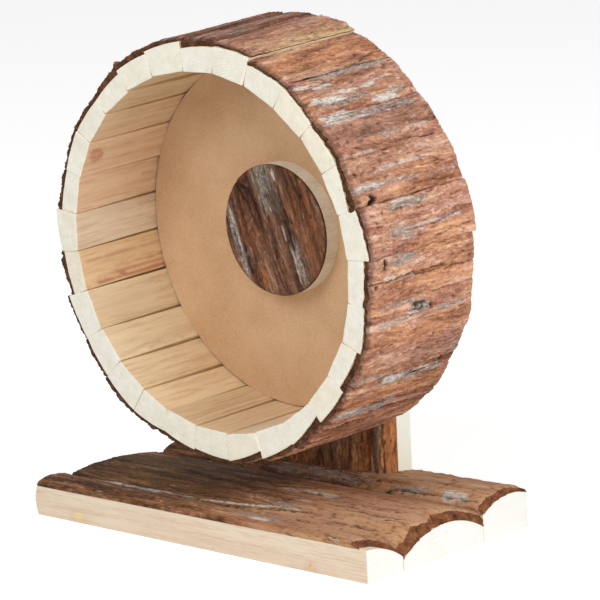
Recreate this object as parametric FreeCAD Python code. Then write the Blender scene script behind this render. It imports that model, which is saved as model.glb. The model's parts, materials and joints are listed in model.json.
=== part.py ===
"""Rodent exercise wheel of bark-faced wood.

A drum of staves turns on a ball-bearing axle, in front of a post that stands on a base.
Millimetres. X runs along the base, Y from the open front of the drum to the post, Z up.
The origin is the centre of the base's underside.
"""
import FreeCAD
import Part
import math
import os

Vector = FreeCAD.Vector
X_AXIS = Vector(1, 0, 0)
Y_AXIS = Vector(0, 1, 0)
Z_AXIS = Vector(0, 0, 1)

# Fits
GLUE_GAP = 0.1
SCREW_GAP = 0.05
RUNNING_GAP = 0.04
SHAFT_GAP = 0.05

# Base: three half-logs side by side with slanting joints, each end with its width, and with a wood height
# and a bark thickness at its front edge, middle and rear edge; the middle plank takes up the width that is left
BASE_LENGTH = 241.0
BASE_DEPTH = 130.5
FRONT_PLANK_LEFT_WIDTH = 26.6
FRONT_PLANK_RIGHT_WIDTH = 29.0
FRONT_PLANK_LEFT_WOOD = (16.3, 16.2, 11.5)
FRONT_PLANK_LEFT_BARK = (1.4, 3.6, 4.5)
FRONT_PLANK_RIGHT_WOOD = (18.2, 15.8, 8.0)
FRONT_PLANK_RIGHT_BARK = (2.0, 4.4, 6.0)
MIDDLE_PLANK_LEFT_WOOD = (11.0, 13.0, 8.2)
MIDDLE_PLANK_LEFT_BARK = (6.2, 4.9, 4.4)
MIDDLE_PLANK_RIGHT_WOOD = (6.0, 17.9, 8.7)
MIDDLE_PLANK_RIGHT_BARK = (8.5, 6.1, 7.3)
REAR_PLANK_LEFT_WIDTH = 30.8
REAR_PLANK_RIGHT_WIDTH = 36.5
REAR_PLANK_LEFT_WOOD = (8.6, 12.6, 13.0)
REAR_PLANK_LEFT_BARK = (3.8, 3.8, 2.5)
REAR_PLANK_RIGHT_WOOD = (14.5, 21.4, 19.0)
REAR_PLANK_RIGHT_BARK = (5.0, 3.6, 2.0)
PLANK_SAWN_OFF = 2.0

# Staples that tie the planks together from below
STAPLE_CROWN = 13.0
STAPLE_LEG = 5.0
STAPLE_WIRE = 1.2
STAPLE_RECESS = 0.3
STAPLES_PER_JOINT = 4

# Post: a wide and a narrow board, with a wood thickness and a bark thickness
# at the left edge, middle and right edge
WIDE_BOARD_WIDTH = 69.5
WIDE_BOARD_WOOD = (9.0, 14.5, 11.5)
WIDE_BOARD_BARK = (3.0, 3.5, 3.5)
NARROW_BOARD_WIDTH = 17.5
NARROW_BOARD_WOOD = (11.0, 12.6, 11.3)
NARROW_BOARD_BARK = (3.5, 3.6, 2.5)
POST_REAR_INSET = 5.0
POST_ABOVE_AXLE = 27.0
POST_SEAT_CUT = 0.5

# Screws that hold the post, driven up from under the base
POST_SCREW_LENGTH = 46.0
POST_SCREW_RADIUS = 2.0
POST_SCREW_HEAD_RADIUS = 4.0
POST_SCREW_HEAD = 2.4
POST_SCREW_TIP = 5.0
POST_SCREW_RECESS = 0.6
POST_SCREW_BEHIND_FRONT = 10.0
POST_SCREW_EDGE = 16.0

# Drum: flat-sided staves round a fibreboard disc
FIRST_JOINT_DEG = 4.9
DRUM_INNER_RADIUS = 97.7
DRUM_DEPTH = 84.75
DRUM_TO_POST = 4.0
WHEEL_TO_BASE = 18.0
STAVE_CROWN = 0.7
STAVE_BARK_CROWN = 1.2
STAVE_REAR_STEP = 0.4
DISC_THICKNESS = 6.0
DISC_FROM_FRONT = 62.5
DISC_GAP = 0.15

# Each stave's width, its wood thickness at both edges and its bark thickness at both edges,
# clockwise from the top as seen from the front; the widths share out the whole turn
STAVES = (
    (22.0, 15.2, 16.8, 2.0, 1.2),
    (23.0, 12.8, 14.2, 3.0, 2.0),
    (22.5, 14.2, 12.2, 1.8, 1.4),
    (23.0, 11.0, 11.8, 4.0, 4.4),
    (23.0, 11.8, 7.8, 4.2, 7.8),
    (24.0, 13.0, 15.2, 3.6, 1.8),
    (23.0, 11.2, 10.2, 4.6, 4.4),
    (22.5, 11.0, 14.0, 3.4, 2.2),
    (22.0, 11.6, 9.8, 4.4, 5.0),
    (23.0, 12.8, 12.6, 2.2, 3.6),
    (23.0, 8.2, 13.0, 7.4, 3.0),
    (22.0, 12.4, 14.8, 3.0, 1.6),
    (21.5, 10.4, 15.4, 4.2, 1.6),
    (22.0, 14.8, 13.0, 1.6, 2.6),
    (21.0, 14.0, 12.4, 2.0, 3.4),
    (20.0, 13.2, 15.8, 3.0, 1.6),
    (21.5, 15.4, 14.6, 1.6, 1.4),
    (20.5, 14.2, 13.2, 1.4, 1.4),
    (22.5, 13.2, 14.4, 1.4, 1.4),
    (22.0, 10.2, 11.0, 3.8, 4.2),
    (20.5, 12.0, 14.8, 1.4, 1.2),
    (21.5, 11.0, 10.2, 3.0, 2.0),
    (22.0, 10.2, 11.2, 2.6, 3.2),
    (21.0, 11.2, 10.0, 3.0, 2.8),
    (22.5, 10.0, 11.2, 3.2, 4.8),
    (21.5, 13.0, 13.2, 3.6, 3.6),
    (23.5, 14.4, 16.0, 2.6, 1.4),
    (21.5, 12.2, 14.6, 4.4, 2.6),
)

# Brads that pin each stave to the edge of the disc
BRAD_RADIUS = 0.7
BRAD_IN_DISC = 11.0
BRAD_IN_STAVE = 9.0

# Hub: a bark-faced cover inside the drum, fixed slightly off the axle, and a turned block behind the disc
HUB_COVER_RADIUS = 36.1
HUB_COVER_ASIDE = 0.6
HUB_COVER_RISE = 2.2
HUB_COVER_WOOD = 9.0
HUB_COVER_BARK = 1.6
HUB_BLOCK_RADIUS = 30.0
HUB_BLOCK_LIP = 1.0
HUB_SCREW_COUNT = 3
HUB_SCREW_CIRCLE_RADIUS = 22.0
HUB_SCREW_RADIUS = 1.5
HUB_SCREW_HEAD_RADIUS = 3.0
HUB_SCREW_HEAD = 1.8
HUB_SCREW_TIP = 3.0
HUB_SCREW_IN_COVER = 5.0

# Ball bearings, two alike
BEARING_RADIUS = 11.0
BEARING_BORE_RADIUS = 4.0
BEARING_WIDTH = 7.0
BEARING_APART = 4.0
BALL_COUNT = 7
BALL_RADIUS = 1.9845
BALL_PITCH_RADIUS = 7.6
GROOVE_RADIUS = 2.06
INNER_SHOULDER_RADIUS = 6.1
OUTER_SHOULDER_RADIUS = 9.0
CAGE_THICKNESS = 1.2
CAGE_RIM = 0.5
SHIELD_THICKNESS = 0.3
SHIELD_INSET = 0.15
SHIELD_GAP = 0.25

# Axle bolt with its washers, spacers and nut
AXLE_HEAD_RADIUS = 7.0
AXLE_HEAD = 3.2
AXLE_HEAD_CLEARANCE = 0.8
AXLE_STICK_OUT = 2.0
HEAD_WASHER_RADIUS = 5.8
HEAD_WASHER = 0.8
POST_WASHER_RADIUS = 10.0
POST_WASHER = 1.5
SPOT_FACE_DEPTH = 2.0
SPOT_FACE_CLEARANCE = 1.0
SPACER_WALL = 1.8
NUT_ACROSS_FLATS = 13.0
NUT_HEIGHT = 6.5

# Places that follow from the sizes
BASE_FRONT = -BASE_DEPTH / 2
BASE_REAR = BASE_DEPTH / 2
FRONT_EDGE = (BASE_FRONT, BASE_FRONT)
FRONT_JOINT = (BASE_FRONT + FRONT_PLANK_LEFT_WIDTH, BASE_FRONT + FRONT_PLANK_RIGHT_WIDTH)
REAR_JOINT = (BASE_REAR - REAR_PLANK_LEFT_WIDTH, BASE_REAR - REAR_PLANK_RIGHT_WIDTH)
REAR_EDGE = (BASE_REAR, BASE_REAR)
MIDDLE_PLANK_TOP = MIDDLE_PLANK_RIGHT_WOOD[1] + MIDDLE_PLANK_RIGHT_BARK[1]
REAR_PLANK_TOP = REAR_PLANK_RIGHT_WOOD[1] + REAR_PLANK_RIGHT_BARK[1]
BASE_TOP = max(MIDDLE_PLANK_TOP, REAR_PLANK_TOP)
POST_WIDTH = WIDE_BOARD_WIDTH + NARROW_BOARD_WIDTH
POST_LEFT = -POST_WIDTH / 2
POST_JOINT = POST_LEFT + WIDE_BOARD_WIDTH
POST_REAR = BASE_REAR - POST_REAR_INSET
POST_SEAT = min(REAR_PLANK_LEFT_WOOD[1:]) - POST_SEAT_CUT
POST_WOOD_FRONT = POST_REAR - max(WIDE_BOARD_WOOD[1], NARROW_BOARD_WOOD[1])
POST_FRONT = POST_REAR - max(WIDE_BOARD_WOOD[1] + WIDE_BOARD_BARK[1],
                             NARROW_BOARD_WOOD[1] + NARROW_BOARD_BARK[1])
DRUM_REAR = POST_FRONT - DRUM_TO_POST
DRUM_FRONT = DRUM_REAR - DRUM_DEPTH
DISC_FRONT = DRUM_FRONT + DISC_FROM_FRONT
DISC_REAR = DISC_FRONT + DISC_THICKNESS
DISC_RADIUS = DRUM_INNER_RADIUS - DISC_GAP
STAVE_COUNT = len(STAVES)
STAVE_WIDTHS = sum(stave[0] for stave in STAVES)
WALL_MAX = max(max(first + first_bark, last + last_bark) for width, first, last, first_bark, last_bark in STAVES)
AXLE_HEIGHT = BASE_TOP + WHEEL_TO_BASE + DRUM_INNER_RADIUS + WALL_MAX
POST_TOP = AXLE_HEIGHT + POST_ABOVE_AXLE
FRONT_BEARING_FRONT = DISC_FRONT
FRONT_BEARING_REAR = FRONT_BEARING_FRONT + BEARING_WIDTH
REAR_BEARING_FRONT = FRONT_BEARING_REAR + BEARING_APART
REAR_BEARING_REAR = REAR_BEARING_FRONT + BEARING_WIDTH
HUB_BLOCK_REAR = REAR_BEARING_REAR + HUB_BLOCK_LIP
AXLE_RADIUS = BEARING_BORE_RADIUS - RUNNING_GAP
HEAD_REAR = FRONT_BEARING_FRONT - HEAD_WASHER
HEAD_FRONT = HEAD_REAR - AXLE_HEAD
SPOT_FACE = POST_WOOD_FRONT + SPOT_FACE_DEPTH
NUT_FRONT = POST_REAR + POST_WASHER
AXLE_END = NUT_FRONT + NUT_HEIGHT + AXLE_STICK_OUT
CAGE_HALF_WIDTH = BALL_RADIUS + RUNNING_GAP + CAGE_RIM


def on_axle(y):
    """The point of the axle's line at depth y."""
    return Vector(0, y, AXLE_HEIGHT)


def rod(radius, start, length, direction):
    """A round bar."""
    return Part.makeCylinder(radius, length, start, direction)


def tube(outer_radius, inner_radius, front, rear):
    """A ring about the axle's line, between two depths."""
    outside = rod(outer_radius, on_axle(front), rear - front, Y_AXIS)
    return outside.cut(rod(inner_radius, on_axle(front), rear - front, Y_AXIS))


def line(start, end):
    return Part.LineSegment(start, end).toShape()


def arc(start, middle, end):
    return Part.Arc(start, middle, end).toShape()


def turned(profile, start, direction):
    """A solid turned from (radius, height) points, standing on start along direction."""
    points = [Vector(radius, 0, height) for radius, height in profile]
    face = Part.Face(Part.makePolygon(points + points[:1]))
    solid = face.revolve(Vector(0, 0, 0), Z_AXIS, 360)
    solid.Placement = FreeCAD.Placement(start, FreeCAD.Rotation(Z_AXIS, direction))
    return solid


def wood_screw(start, direction, length, radius, head_radius, head, tip, gap=0.0):
    """A countersunk wood screw from the flat of its head; gap widens it into its own hole."""
    profile = (
        (0, 0),
        (head_radius + gap, 0),
        (radius + gap, head),
        (radius + gap, length - tip),
        (0, length + gap),
    )
    return turned(profile, start, direction)


def write(node, *solids):
    """Writes a node of one solid, or of several separate ones."""
    shape = solids[0] if len(solids) == 1 else Part.makeCompound(list(solids))
    shape.exportStep(os.path.join("parts", node + ".step"))


# Base


def three_places(width, low):
    """Where a plank's or a board's three stated sizes stand across its width."""
    return (low + GLUE_GAP / 2, low + width / 2, low + width - GLUE_GAP / 2)


def plank_end(x, places, low, high):
    """The outline of a plank's or its bark's end: low and high hold the heights at the three places."""
    under = [Vector(x, y, z) for y, z in zip(places, low)]
    over = [Vector(x, y, z) for y, z in zip(places, high)]
    flat = len(set(low)) == 1
    bottom = line(under[0], under[2]) if flat else arc(*under)
    top = arc(over[2], over[1], over[0])
    return Part.Wire([bottom, line(under[2], over[2]), top, line(over[0], under[0])])


def plank_wood(front, rear, left_wood, right_wood):
    """A half-log plank: flat underside, sawn sides and a rounded top."""
    ends = []
    for end, x, wood in ((0, -BASE_LENGTH / 2, left_wood), (1, BASE_LENGTH / 2, right_wood)):
        places = three_places(rear[end] - front[end], front[end])
        ends.append(plank_end(x, places, (-PLANK_SAWN_OFF,) * 3, wood))
    log = Part.makeLoft(ends, True, True)
    corner = Vector(-BASE_LENGTH, -BASE_DEPTH, -2 * PLANK_SAWN_OFF)
    return log.cut(Part.makeBox(2 * BASE_LENGTH, 2 * BASE_DEPTH, 2 * PLANK_SAWN_OFF, corner))


def plank_bark(front, rear, left_wood, left_bark, right_wood, right_bark):
    """The bark on a plank's rounded top."""
    left = (0, -BASE_LENGTH / 2, left_wood, left_bark)
    right = (1, BASE_LENGTH / 2, right_wood, right_bark)
    ends = []
    for end, x, wood, bark in (left, right):
        places = three_places(rear[end] - front[end], front[end])
        under = [z + GLUE_GAP for z in wood]
        over = [z + b for z, b in zip(wood, bark)]
        ends.append(plank_end(x, places, under, over))
    return Part.makeLoft(ends, True, True)


def joint_place(joint, x):
    """Where a slanting joint lies at x."""
    left, right = joint
    return left + (right - left) * (x / BASE_LENGTH + 0.5)


def staple(x, joint, gap=0.0):
    """A staple across a joint between planks; gap widens it into its own slot, open below."""
    half = STAPLE_WIRE / 2 + gap
    low = STAPLE_RECESS if gap == 0 else 0.0
    top = STAPLE_RECESS + STAPLE_WIRE + gap
    reach = STAPLE_CROWN / 2 + gap
    crown = Part.makeBox(2 * half, 2 * reach, top - low, Vector(x - half, joint - reach, low))
    leg_height = STAPLE_RECESS + STAPLE_WIRE + STAPLE_LEG + gap - low
    legs = [
        Part.makeBox(2 * half, STAPLE_WIRE + 2 * gap, leg_height, Vector(x - half, y, low))
        for y in (joint - reach, joint + reach - STAPLE_WIRE - 2 * gap)
    ]
    return crown.fuse(legs).removeSplitter()


def staple_places():
    """The staples' places: along each of the two joints, clear of the ends."""
    pitch = BASE_LENGTH / STAPLES_PER_JOINT
    along = [-BASE_LENGTH / 2 + (i + 0.5) * pitch for i in range(STAPLES_PER_JOINT)]
    return [(x, joint_place(joint, x)) for joint in (FRONT_JOINT, REAR_JOINT) for x in along]


def post_screw_places():
    """Two screws under the wide board and one under the narrow board."""
    y = POST_FRONT + POST_SCREW_BEHIND_FRONT
    wide = (POST_LEFT + POST_SCREW_EDGE, POST_JOINT - POST_SCREW_EDGE)
    narrow = POST_JOINT + NARROW_BOARD_WIDTH / 2
    return [Vector(x, y, POST_SCREW_RECESS) for x in (*wide, narrow)]


def post_screw(place, gap=0.0):
    return wood_screw(place, Z_AXIS, POST_SCREW_LENGTH, POST_SCREW_RADIUS, POST_SCREW_HEAD_RADIUS,
                      POST_SCREW_HEAD, POST_SCREW_TIP, gap)


def post_screw_holes():
    """The screws' own holes, with the mouth that each head is sunk through."""
    mouths = [
        rod(POST_SCREW_HEAD_RADIUS + SCREW_GAP, Vector(p.x, p.y, 0), POST_SCREW_RECESS, Z_AXIS)
        for p in post_screw_places()
    ]
    return [post_screw(p, SCREW_GAP) for p in post_screw_places()] + mouths


def post_seat():
    """The room that the post's foot takes out of the rear plank and its bark."""
    solids = []
    for outline in (wide_board_outline, narrow_board_outline):
        for solid in outline(POST_SEAT, BASE_TOP + GLUE_GAP, GLUE_GAP):
            solids.append(solid)
    return solids


def build_base():
    slots = [staple(x, joint, SCREW_GAP) for x, joint in staple_places()]
    front = plank_wood(FRONT_EDGE, FRONT_JOINT, FRONT_PLANK_LEFT_WOOD, FRONT_PLANK_RIGHT_WOOD)
    middle = plank_wood(FRONT_JOINT, REAR_JOINT, MIDDLE_PLANK_LEFT_WOOD, MIDDLE_PLANK_RIGHT_WOOD)
    rear = plank_wood(REAR_JOINT, REAR_EDGE, REAR_PLANK_LEFT_WOOD, REAR_PLANK_RIGHT_WOOD)
    write("base_plank_front", front.cut(slots))
    write("base_plank_middle", middle.cut(slots))
    write("base_plank_rear", rear.cut(slots + post_screw_holes() + post_seat()))
    front_bark = plank_bark(FRONT_EDGE, FRONT_JOINT,
                            FRONT_PLANK_LEFT_WOOD, FRONT_PLANK_LEFT_BARK,
                            FRONT_PLANK_RIGHT_WOOD, FRONT_PLANK_RIGHT_BARK)
    middle_bark = plank_bark(FRONT_JOINT, REAR_JOINT,
                             MIDDLE_PLANK_LEFT_WOOD, MIDDLE_PLANK_LEFT_BARK,
                             MIDDLE_PLANK_RIGHT_WOOD, MIDDLE_PLANK_RIGHT_BARK)
    rear_bark = plank_bark(REAR_JOINT, REAR_EDGE,
                           REAR_PLANK_LEFT_WOOD, REAR_PLANK_LEFT_BARK,
                           REAR_PLANK_RIGHT_WOOD, REAR_PLANK_RIGHT_BARK)
    write("base_bark_front", front_bark)
    write("base_bark_middle", middle_bark)
    write("base_bark_rear", rear_bark.cut(post_seat()))
    write("base_staples", *[staple(x, joint) for x, joint in staple_places()])
    write("post_screws", *[post_screw(place) for place in post_screw_places()])


# Post


def board_wood(left, width, wood, low, high, grow=0.0):
    """A half-log board standing on end: flat back, sawn sides and a rounded front."""
    places = three_places(width, left)
    places = (places[0] - grow, places[1], places[2] + grow)
    back = [Vector(x, POST_REAR + grow, low) for x in places]
    front = [Vector(x, POST_REAR - t - grow, low) for x, t in zip(places, wood)]
    edges = [line(back[0], back[2]), line(back[2], front[2]), arc(front[2], front[1], front[0]),
             line(front[0], back[0])]
    return Part.Face(Part.Wire(edges)).extrude(Z_AXIS * (high - low))


def board_bark(left, width, wood, bark, low, high, grow=0.0):
    """The bark on a board's rounded front."""
    places = three_places(width, left)
    places = (places[0] - grow, places[1], places[2] + grow)
    under = [Vector(x, POST_REAR - t - GLUE_GAP, low) for x, t in zip(places, wood)]
    over = [Vector(x, POST_REAR - t - b - grow, low) for x, t, b in zip(places, wood, bark)]
    edges = [arc(under[0], under[1], under[2]), line(under[2], over[2]), arc(over[2], over[1], over[0]),
             line(over[0], under[0])]
    return Part.Face(Part.Wire(edges)).extrude(Z_AXIS * (high - low))


def wide_board_outline(low, high, grow=0.0):
    return (
        board_wood(POST_LEFT, WIDE_BOARD_WIDTH, WIDE_BOARD_WOOD, low, high, grow),
        board_bark(POST_LEFT, WIDE_BOARD_WIDTH, WIDE_BOARD_WOOD, WIDE_BOARD_BARK, low, high, grow),
    )


def narrow_board_outline(low, high, grow=0.0):
    return (
        board_wood(POST_JOINT, NARROW_BOARD_WIDTH, NARROW_BOARD_WOOD, low, high, grow),
        board_bark(POST_JOINT, NARROW_BOARD_WIDTH, NARROW_BOARD_WOOD, NARROW_BOARD_BARK, low, high, grow),
    )


def build_post():
    axle_hole = rod(AXLE_RADIUS + SHAFT_GAP, on_axle(POST_FRONT), POST_REAR - POST_FRONT, Y_AXIS)
    spot_radius = POST_WASHER_RADIUS + SPOT_FACE_CLEARANCE
    spot_face = rod(spot_radius, on_axle(DRUM_REAR), SPOT_FACE - DRUM_REAR, Y_AXIS)
    cuts = [axle_hole, spot_face] + post_screw_holes()
    for name, outline in (("wide", wide_board_outline), ("narrow", narrow_board_outline)):
        wood, bark = outline(POST_SEAT, POST_TOP)
        write("post_board_" + name, wood.cut(cuts))
        write("post_bark_" + name, bark.cut(cuts))


# Drum


def stave_angle(i):
    """The middle of stave i, in radians clockwise from the top as seen from the front."""
    before = sum(stave[0] for stave in STAVES[:i])
    return math.radians(FIRST_JOINT_DEG) + 2 * math.pi * before / STAVE_WIDTHS + stave_half_angle(i)


def stave_half_angle(i):
    return math.pi * STAVES[i][0] / STAVE_WIDTHS


def stave_point(i, radius, side):
    """A point of stave i's front end: side is -1 on its first edge, 0 in the middle, 1 on its last edge."""
    angle = stave_angle(i)
    half_width = radius * math.tan(stave_half_angle(i)) - GLUE_GAP / 2
    outward = Vector(math.sin(angle), 0, math.cos(angle))
    along = Vector(math.cos(angle), 0, -math.sin(angle))
    return on_axle(DRUM_FRONT) + outward * radius + along * (side * half_width)


def stave_tops(i):
    """Stave i's outer radius in the wood at its first edge, middle and last edge."""
    first, last = STAVES[i][1:3]
    middle = (first + last) / 2 + STAVE_CROWN
    return [DRUM_INNER_RADIUS + t for t in (first, middle, last)]


def bark_tops(i):
    """The outer radius of the bark on stave i at its first edge, middle and last edge."""
    width, first_wood, last_wood, first_bark, last_bark = STAVES[i]
    first, last = first_wood + first_bark, last_wood + last_bark
    return [DRUM_INNER_RADIUS + t for t in (first, (first + last) / 2 + STAVE_BARK_CROWN, last)]


def stave_length(i):
    """The staves are cut to slightly uneven lengths at the rear."""
    return DRUM_DEPTH - STAVE_REAR_STEP * (i * 3 % 5)


def stave_wood(i):
    inner = [stave_point(i, DRUM_INNER_RADIUS, side) for side in (-1, 1)]
    outer = [stave_point(i, radius, side) for radius, side in zip(stave_tops(i), (-1, 0, 1))]
    edges = [line(inner[0], inner[1]), line(inner[1], outer[2]), arc(outer[2], outer[1], outer[0]),
             line(outer[0], inner[0])]
    return Part.Face(Part.Wire(edges)).extrude(Y_AXIS * stave_length(i))


def stave_bark(i):
    under = [stave_point(i, radius + GLUE_GAP, side) for radius, side in zip(stave_tops(i), (-1, 0, 1))]
    over = [stave_point(i, radius, side) for radius, side in zip(bark_tops(i), (-1, 0, 1))]
    edges = [arc(under[0], under[1], under[2]), line(under[2], over[2]), arc(over[2], over[1], over[0]),
             line(over[0], under[0])]
    return Part.Face(Part.Wire(edges)).extrude(Y_AXIS * stave_length(i))


def brad(i, gap=0.0):
    """A headless brad through stave i into the edge of the disc."""
    angle = stave_angle(i)
    outward = Vector(math.sin(angle), 0, math.cos(angle))
    start = on_axle(DISC_FRONT + DISC_THICKNESS / 2) + outward * (DISC_RADIUS - BRAD_IN_DISC - gap)
    return rod(BRAD_RADIUS + gap, start, BRAD_IN_DISC + BRAD_IN_STAVE + 2 * gap, outward)


def build_drum():
    for i in range(STAVE_COUNT):
        write("stave_%02d" % (i + 1), stave_wood(i).cut(brad(i, SCREW_GAP)))
    write("stave_bark", *[stave_bark(i) for i in range(STAVE_COUNT)])
    write("stave_brads", *[brad(i) for i in range(STAVE_COUNT)])
    disc = tube(DISC_RADIUS, BEARING_RADIUS, DISC_FRONT, DISC_REAR)
    write("back_disc", disc.cut([brad(i, SCREW_GAP) for i in range(STAVE_COUNT)] + hub_screw_holes()))


# Hub


def hub_screw(i, gap=0.0):
    """A screw from the back of the hub block, through the disc, into the cover."""
    angle = 2 * math.pi * i / HUB_SCREW_COUNT
    out = Vector(math.sin(angle), 0, math.cos(angle)) * HUB_SCREW_CIRCLE_RADIUS
    start = on_axle(HUB_BLOCK_REAR) + out
    length = HUB_BLOCK_REAR - DISC_FRONT + HUB_SCREW_IN_COVER
    return wood_screw(start, -Y_AXIS, length, HUB_SCREW_RADIUS, HUB_SCREW_HEAD_RADIUS,
                      HUB_SCREW_HEAD, HUB_SCREW_TIP, gap)


def hub_screw_holes():
    return [hub_screw(i, SCREW_GAP) for i in range(HUB_SCREW_COUNT)]


def build_hub():
    cover_front = DISC_FRONT - HUB_COVER_WOOD
    bark_front = cover_front - HUB_COVER_BARK
    off_axle = Vector(HUB_COVER_ASIDE, 0, HUB_COVER_RISE)
    cover = rod(HUB_COVER_RADIUS, on_axle(cover_front) + off_axle, HUB_COVER_WOOD, Y_AXIS)
    recess_front = HEAD_FRONT - AXLE_HEAD_CLEARANCE
    recess_radius = AXLE_HEAD_RADIUS + AXLE_HEAD_CLEARANCE
    recess = rod(recess_radius, on_axle(recess_front), DISC_FRONT - recess_front, Y_AXIS)
    write("hub_cover", cover.cut([recess] + hub_screw_holes()))
    write("hub_cover_bark", rod(HUB_COVER_RADIUS, on_axle(bark_front) + off_axle, HUB_COVER_BARK, Y_AXIS))
    block = tube(HUB_BLOCK_RADIUS, BEARING_RADIUS, DISC_REAR, HUB_BLOCK_REAR)
    write("hub_block", block.cut(hub_screw_holes()))
    write("hub_screws", *[hub_screw(i) for i in range(HUB_SCREW_COUNT)])


# Bearings


def groove(centre_radius, middle):
    """The ring-shaped room that the balls' track takes out of a bearing ring."""
    return Part.makeTorus(centre_radius, GROOVE_RADIUS, on_axle(middle), Y_AXIS)


def outer_ring(front):
    ring = tube(BEARING_RADIUS, OUTER_SHOULDER_RADIUS, front, front + BEARING_WIDTH)
    track = BALL_PITCH_RADIUS + BALL_RADIUS + RUNNING_GAP - GROOVE_RADIUS
    return ring.cut(groove(track, front + BEARING_WIDTH / 2))


def inner_ring(front):
    ring = tube(INNER_SHOULDER_RADIUS, BEARING_BORE_RADIUS, front, front + BEARING_WIDTH)
    track = BALL_PITCH_RADIUS - BALL_RADIUS - RUNNING_GAP + GROOVE_RADIUS
    return ring.cut(groove(track, front + BEARING_WIDTH / 2))


def ball_directions():
    """The directions from the axle to the balls of a bearing."""
    angles = [2 * math.pi * i / BALL_COUNT for i in range(BALL_COUNT)]
    return [Vector(math.sin(a), 0, math.cos(a)) for a in angles]


def balls(front):
    middle = on_axle(front + BEARING_WIDTH / 2)
    return [Part.makeSphere(BALL_RADIUS, middle + out * BALL_PITCH_RADIUS) for out in ball_directions()]


def cage(front):
    """The ring that keeps the balls apart, with a round pocket for each."""
    middle = front + BEARING_WIDTH / 2
    inner_radius = BALL_PITCH_RADIUS - CAGE_THICKNESS / 2
    outer_radius = BALL_PITCH_RADIUS + CAGE_THICKNESS / 2
    ring = tube(outer_radius, inner_radius, middle - CAGE_HALF_WIDTH, middle + CAGE_HALF_WIDTH)
    start_radius = inner_radius - CAGE_THICKNESS
    pockets = [
        rod(BALL_RADIUS + RUNNING_GAP, on_axle(middle) + out * start_radius, 3 * CAGE_THICKNESS, out)
        for out in ball_directions()
    ]
    return ring.cut(pockets)


def shields(front):
    """The two thin shields that close a bearing."""
    rear = front + BEARING_WIDTH
    inner_radius = INNER_SHOULDER_RADIUS + SHIELD_GAP
    outer_radius = OUTER_SHOULDER_RADIUS - RUNNING_GAP
    return [
        tube(outer_radius, inner_radius, front + SHIELD_INSET, front + SHIELD_INSET + SHIELD_THICKNESS),
        tube(outer_radius, inner_radius, rear - SHIELD_INSET - SHIELD_THICKNESS, rear - SHIELD_INSET),
    ]


def build_bearings():
    fronts = {"front": FRONT_BEARING_FRONT, "rear": REAR_BEARING_FRONT}
    for name, front in fronts.items():
        write(name + "_bearing_outer_ring", outer_ring(front))
        write(name + "_bearing_inner_ring", inner_ring(front))
    write("bearing_balls", *[ball for front in fronts.values() for ball in balls(front)])
    write("bearing_cages", *[cage(front) for front in fronts.values()])
    write("bearing_shields", *[shield for front in fronts.values() for shield in shields(front)])


# Axle


def hexagon(across_flats, front, height):
    """A six-sided bar about the axle's line."""
    corner = across_flats / math.sqrt(3)
    points = [
        on_axle(front) + Vector(math.cos(a), 0, math.sin(a)) * corner
        for a in [math.radians(60 * k) for k in range(7)]
    ]
    return Part.Face(Part.makePolygon(points)).extrude(Y_AXIS * height)


def build_axle():
    head = rod(AXLE_HEAD_RADIUS, on_axle(HEAD_FRONT), AXLE_HEAD, Y_AXIS)
    head = head.makeFillet(AXLE_HEAD / 2, [head.Edges[i] for i in front_edges(head)])
    shank = rod(AXLE_RADIUS, on_axle(HEAD_REAR), AXLE_END - HEAD_REAR, Y_AXIS)
    write("axle_bolt", head.fuse(shank))
    bore = AXLE_RADIUS + SHAFT_GAP
    spacer_rear = SPOT_FACE - POST_WASHER
    write("bearing_sleeve", tube(bore + SPACER_WALL, bore, FRONT_BEARING_REAR, REAR_BEARING_FRONT))
    write("axle_spacer", tube(bore + SPACER_WALL, bore, REAR_BEARING_REAR, spacer_rear))
    write(
        "axle_washers",
        tube(HEAD_WASHER_RADIUS, bore, HEAD_REAR, FRONT_BEARING_FRONT),
        tube(POST_WASHER_RADIUS, bore, spacer_rear, SPOT_FACE),
        tube(POST_WASHER_RADIUS, bore, POST_REAR, NUT_FRONT),
    )
    nut = hexagon(NUT_ACROSS_FLATS, NUT_FRONT, NUT_HEIGHT)
    write("axle_nut", nut.cut(rod(bore, on_axle(NUT_FRONT), NUT_HEIGHT, Y_AXIS)))


def front_edges(head):
    """The edges of the bolt's head that lie wholly in its front face."""
    return [i for i, edge in enumerate(head.Edges) if edge.BoundBox.YMax - HEAD_FRONT < AXLE_HEAD / 10]


def main():
    os.makedirs("parts", exist_ok=True)
    build_base()
    build_post()
    build_drum()
    build_hub()
    build_bearings()
    build_axle()


main()
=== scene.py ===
"""Looks of the rodent exercise wheel: its wood and bark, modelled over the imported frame.

The frame is in metres. Shapes are worked out in millimetres and written to meshes in metres.
"""
import json
import math

import bpy
import numpy as np
from mathutils import Matrix, Vector


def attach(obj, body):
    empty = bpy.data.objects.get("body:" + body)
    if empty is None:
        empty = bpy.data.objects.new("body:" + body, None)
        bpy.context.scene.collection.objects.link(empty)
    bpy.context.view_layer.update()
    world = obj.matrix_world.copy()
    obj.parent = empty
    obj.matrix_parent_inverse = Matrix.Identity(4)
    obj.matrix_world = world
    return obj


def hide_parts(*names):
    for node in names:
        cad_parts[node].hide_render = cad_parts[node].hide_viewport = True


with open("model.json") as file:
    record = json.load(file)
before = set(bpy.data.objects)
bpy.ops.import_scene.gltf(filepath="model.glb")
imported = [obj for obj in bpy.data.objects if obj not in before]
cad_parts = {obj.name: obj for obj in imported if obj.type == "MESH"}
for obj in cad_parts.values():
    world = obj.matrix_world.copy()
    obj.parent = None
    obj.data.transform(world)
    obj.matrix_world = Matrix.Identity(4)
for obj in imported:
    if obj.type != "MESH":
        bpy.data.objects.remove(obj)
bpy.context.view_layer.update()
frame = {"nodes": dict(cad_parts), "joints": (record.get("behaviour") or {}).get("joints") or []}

MM = 0.001

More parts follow.
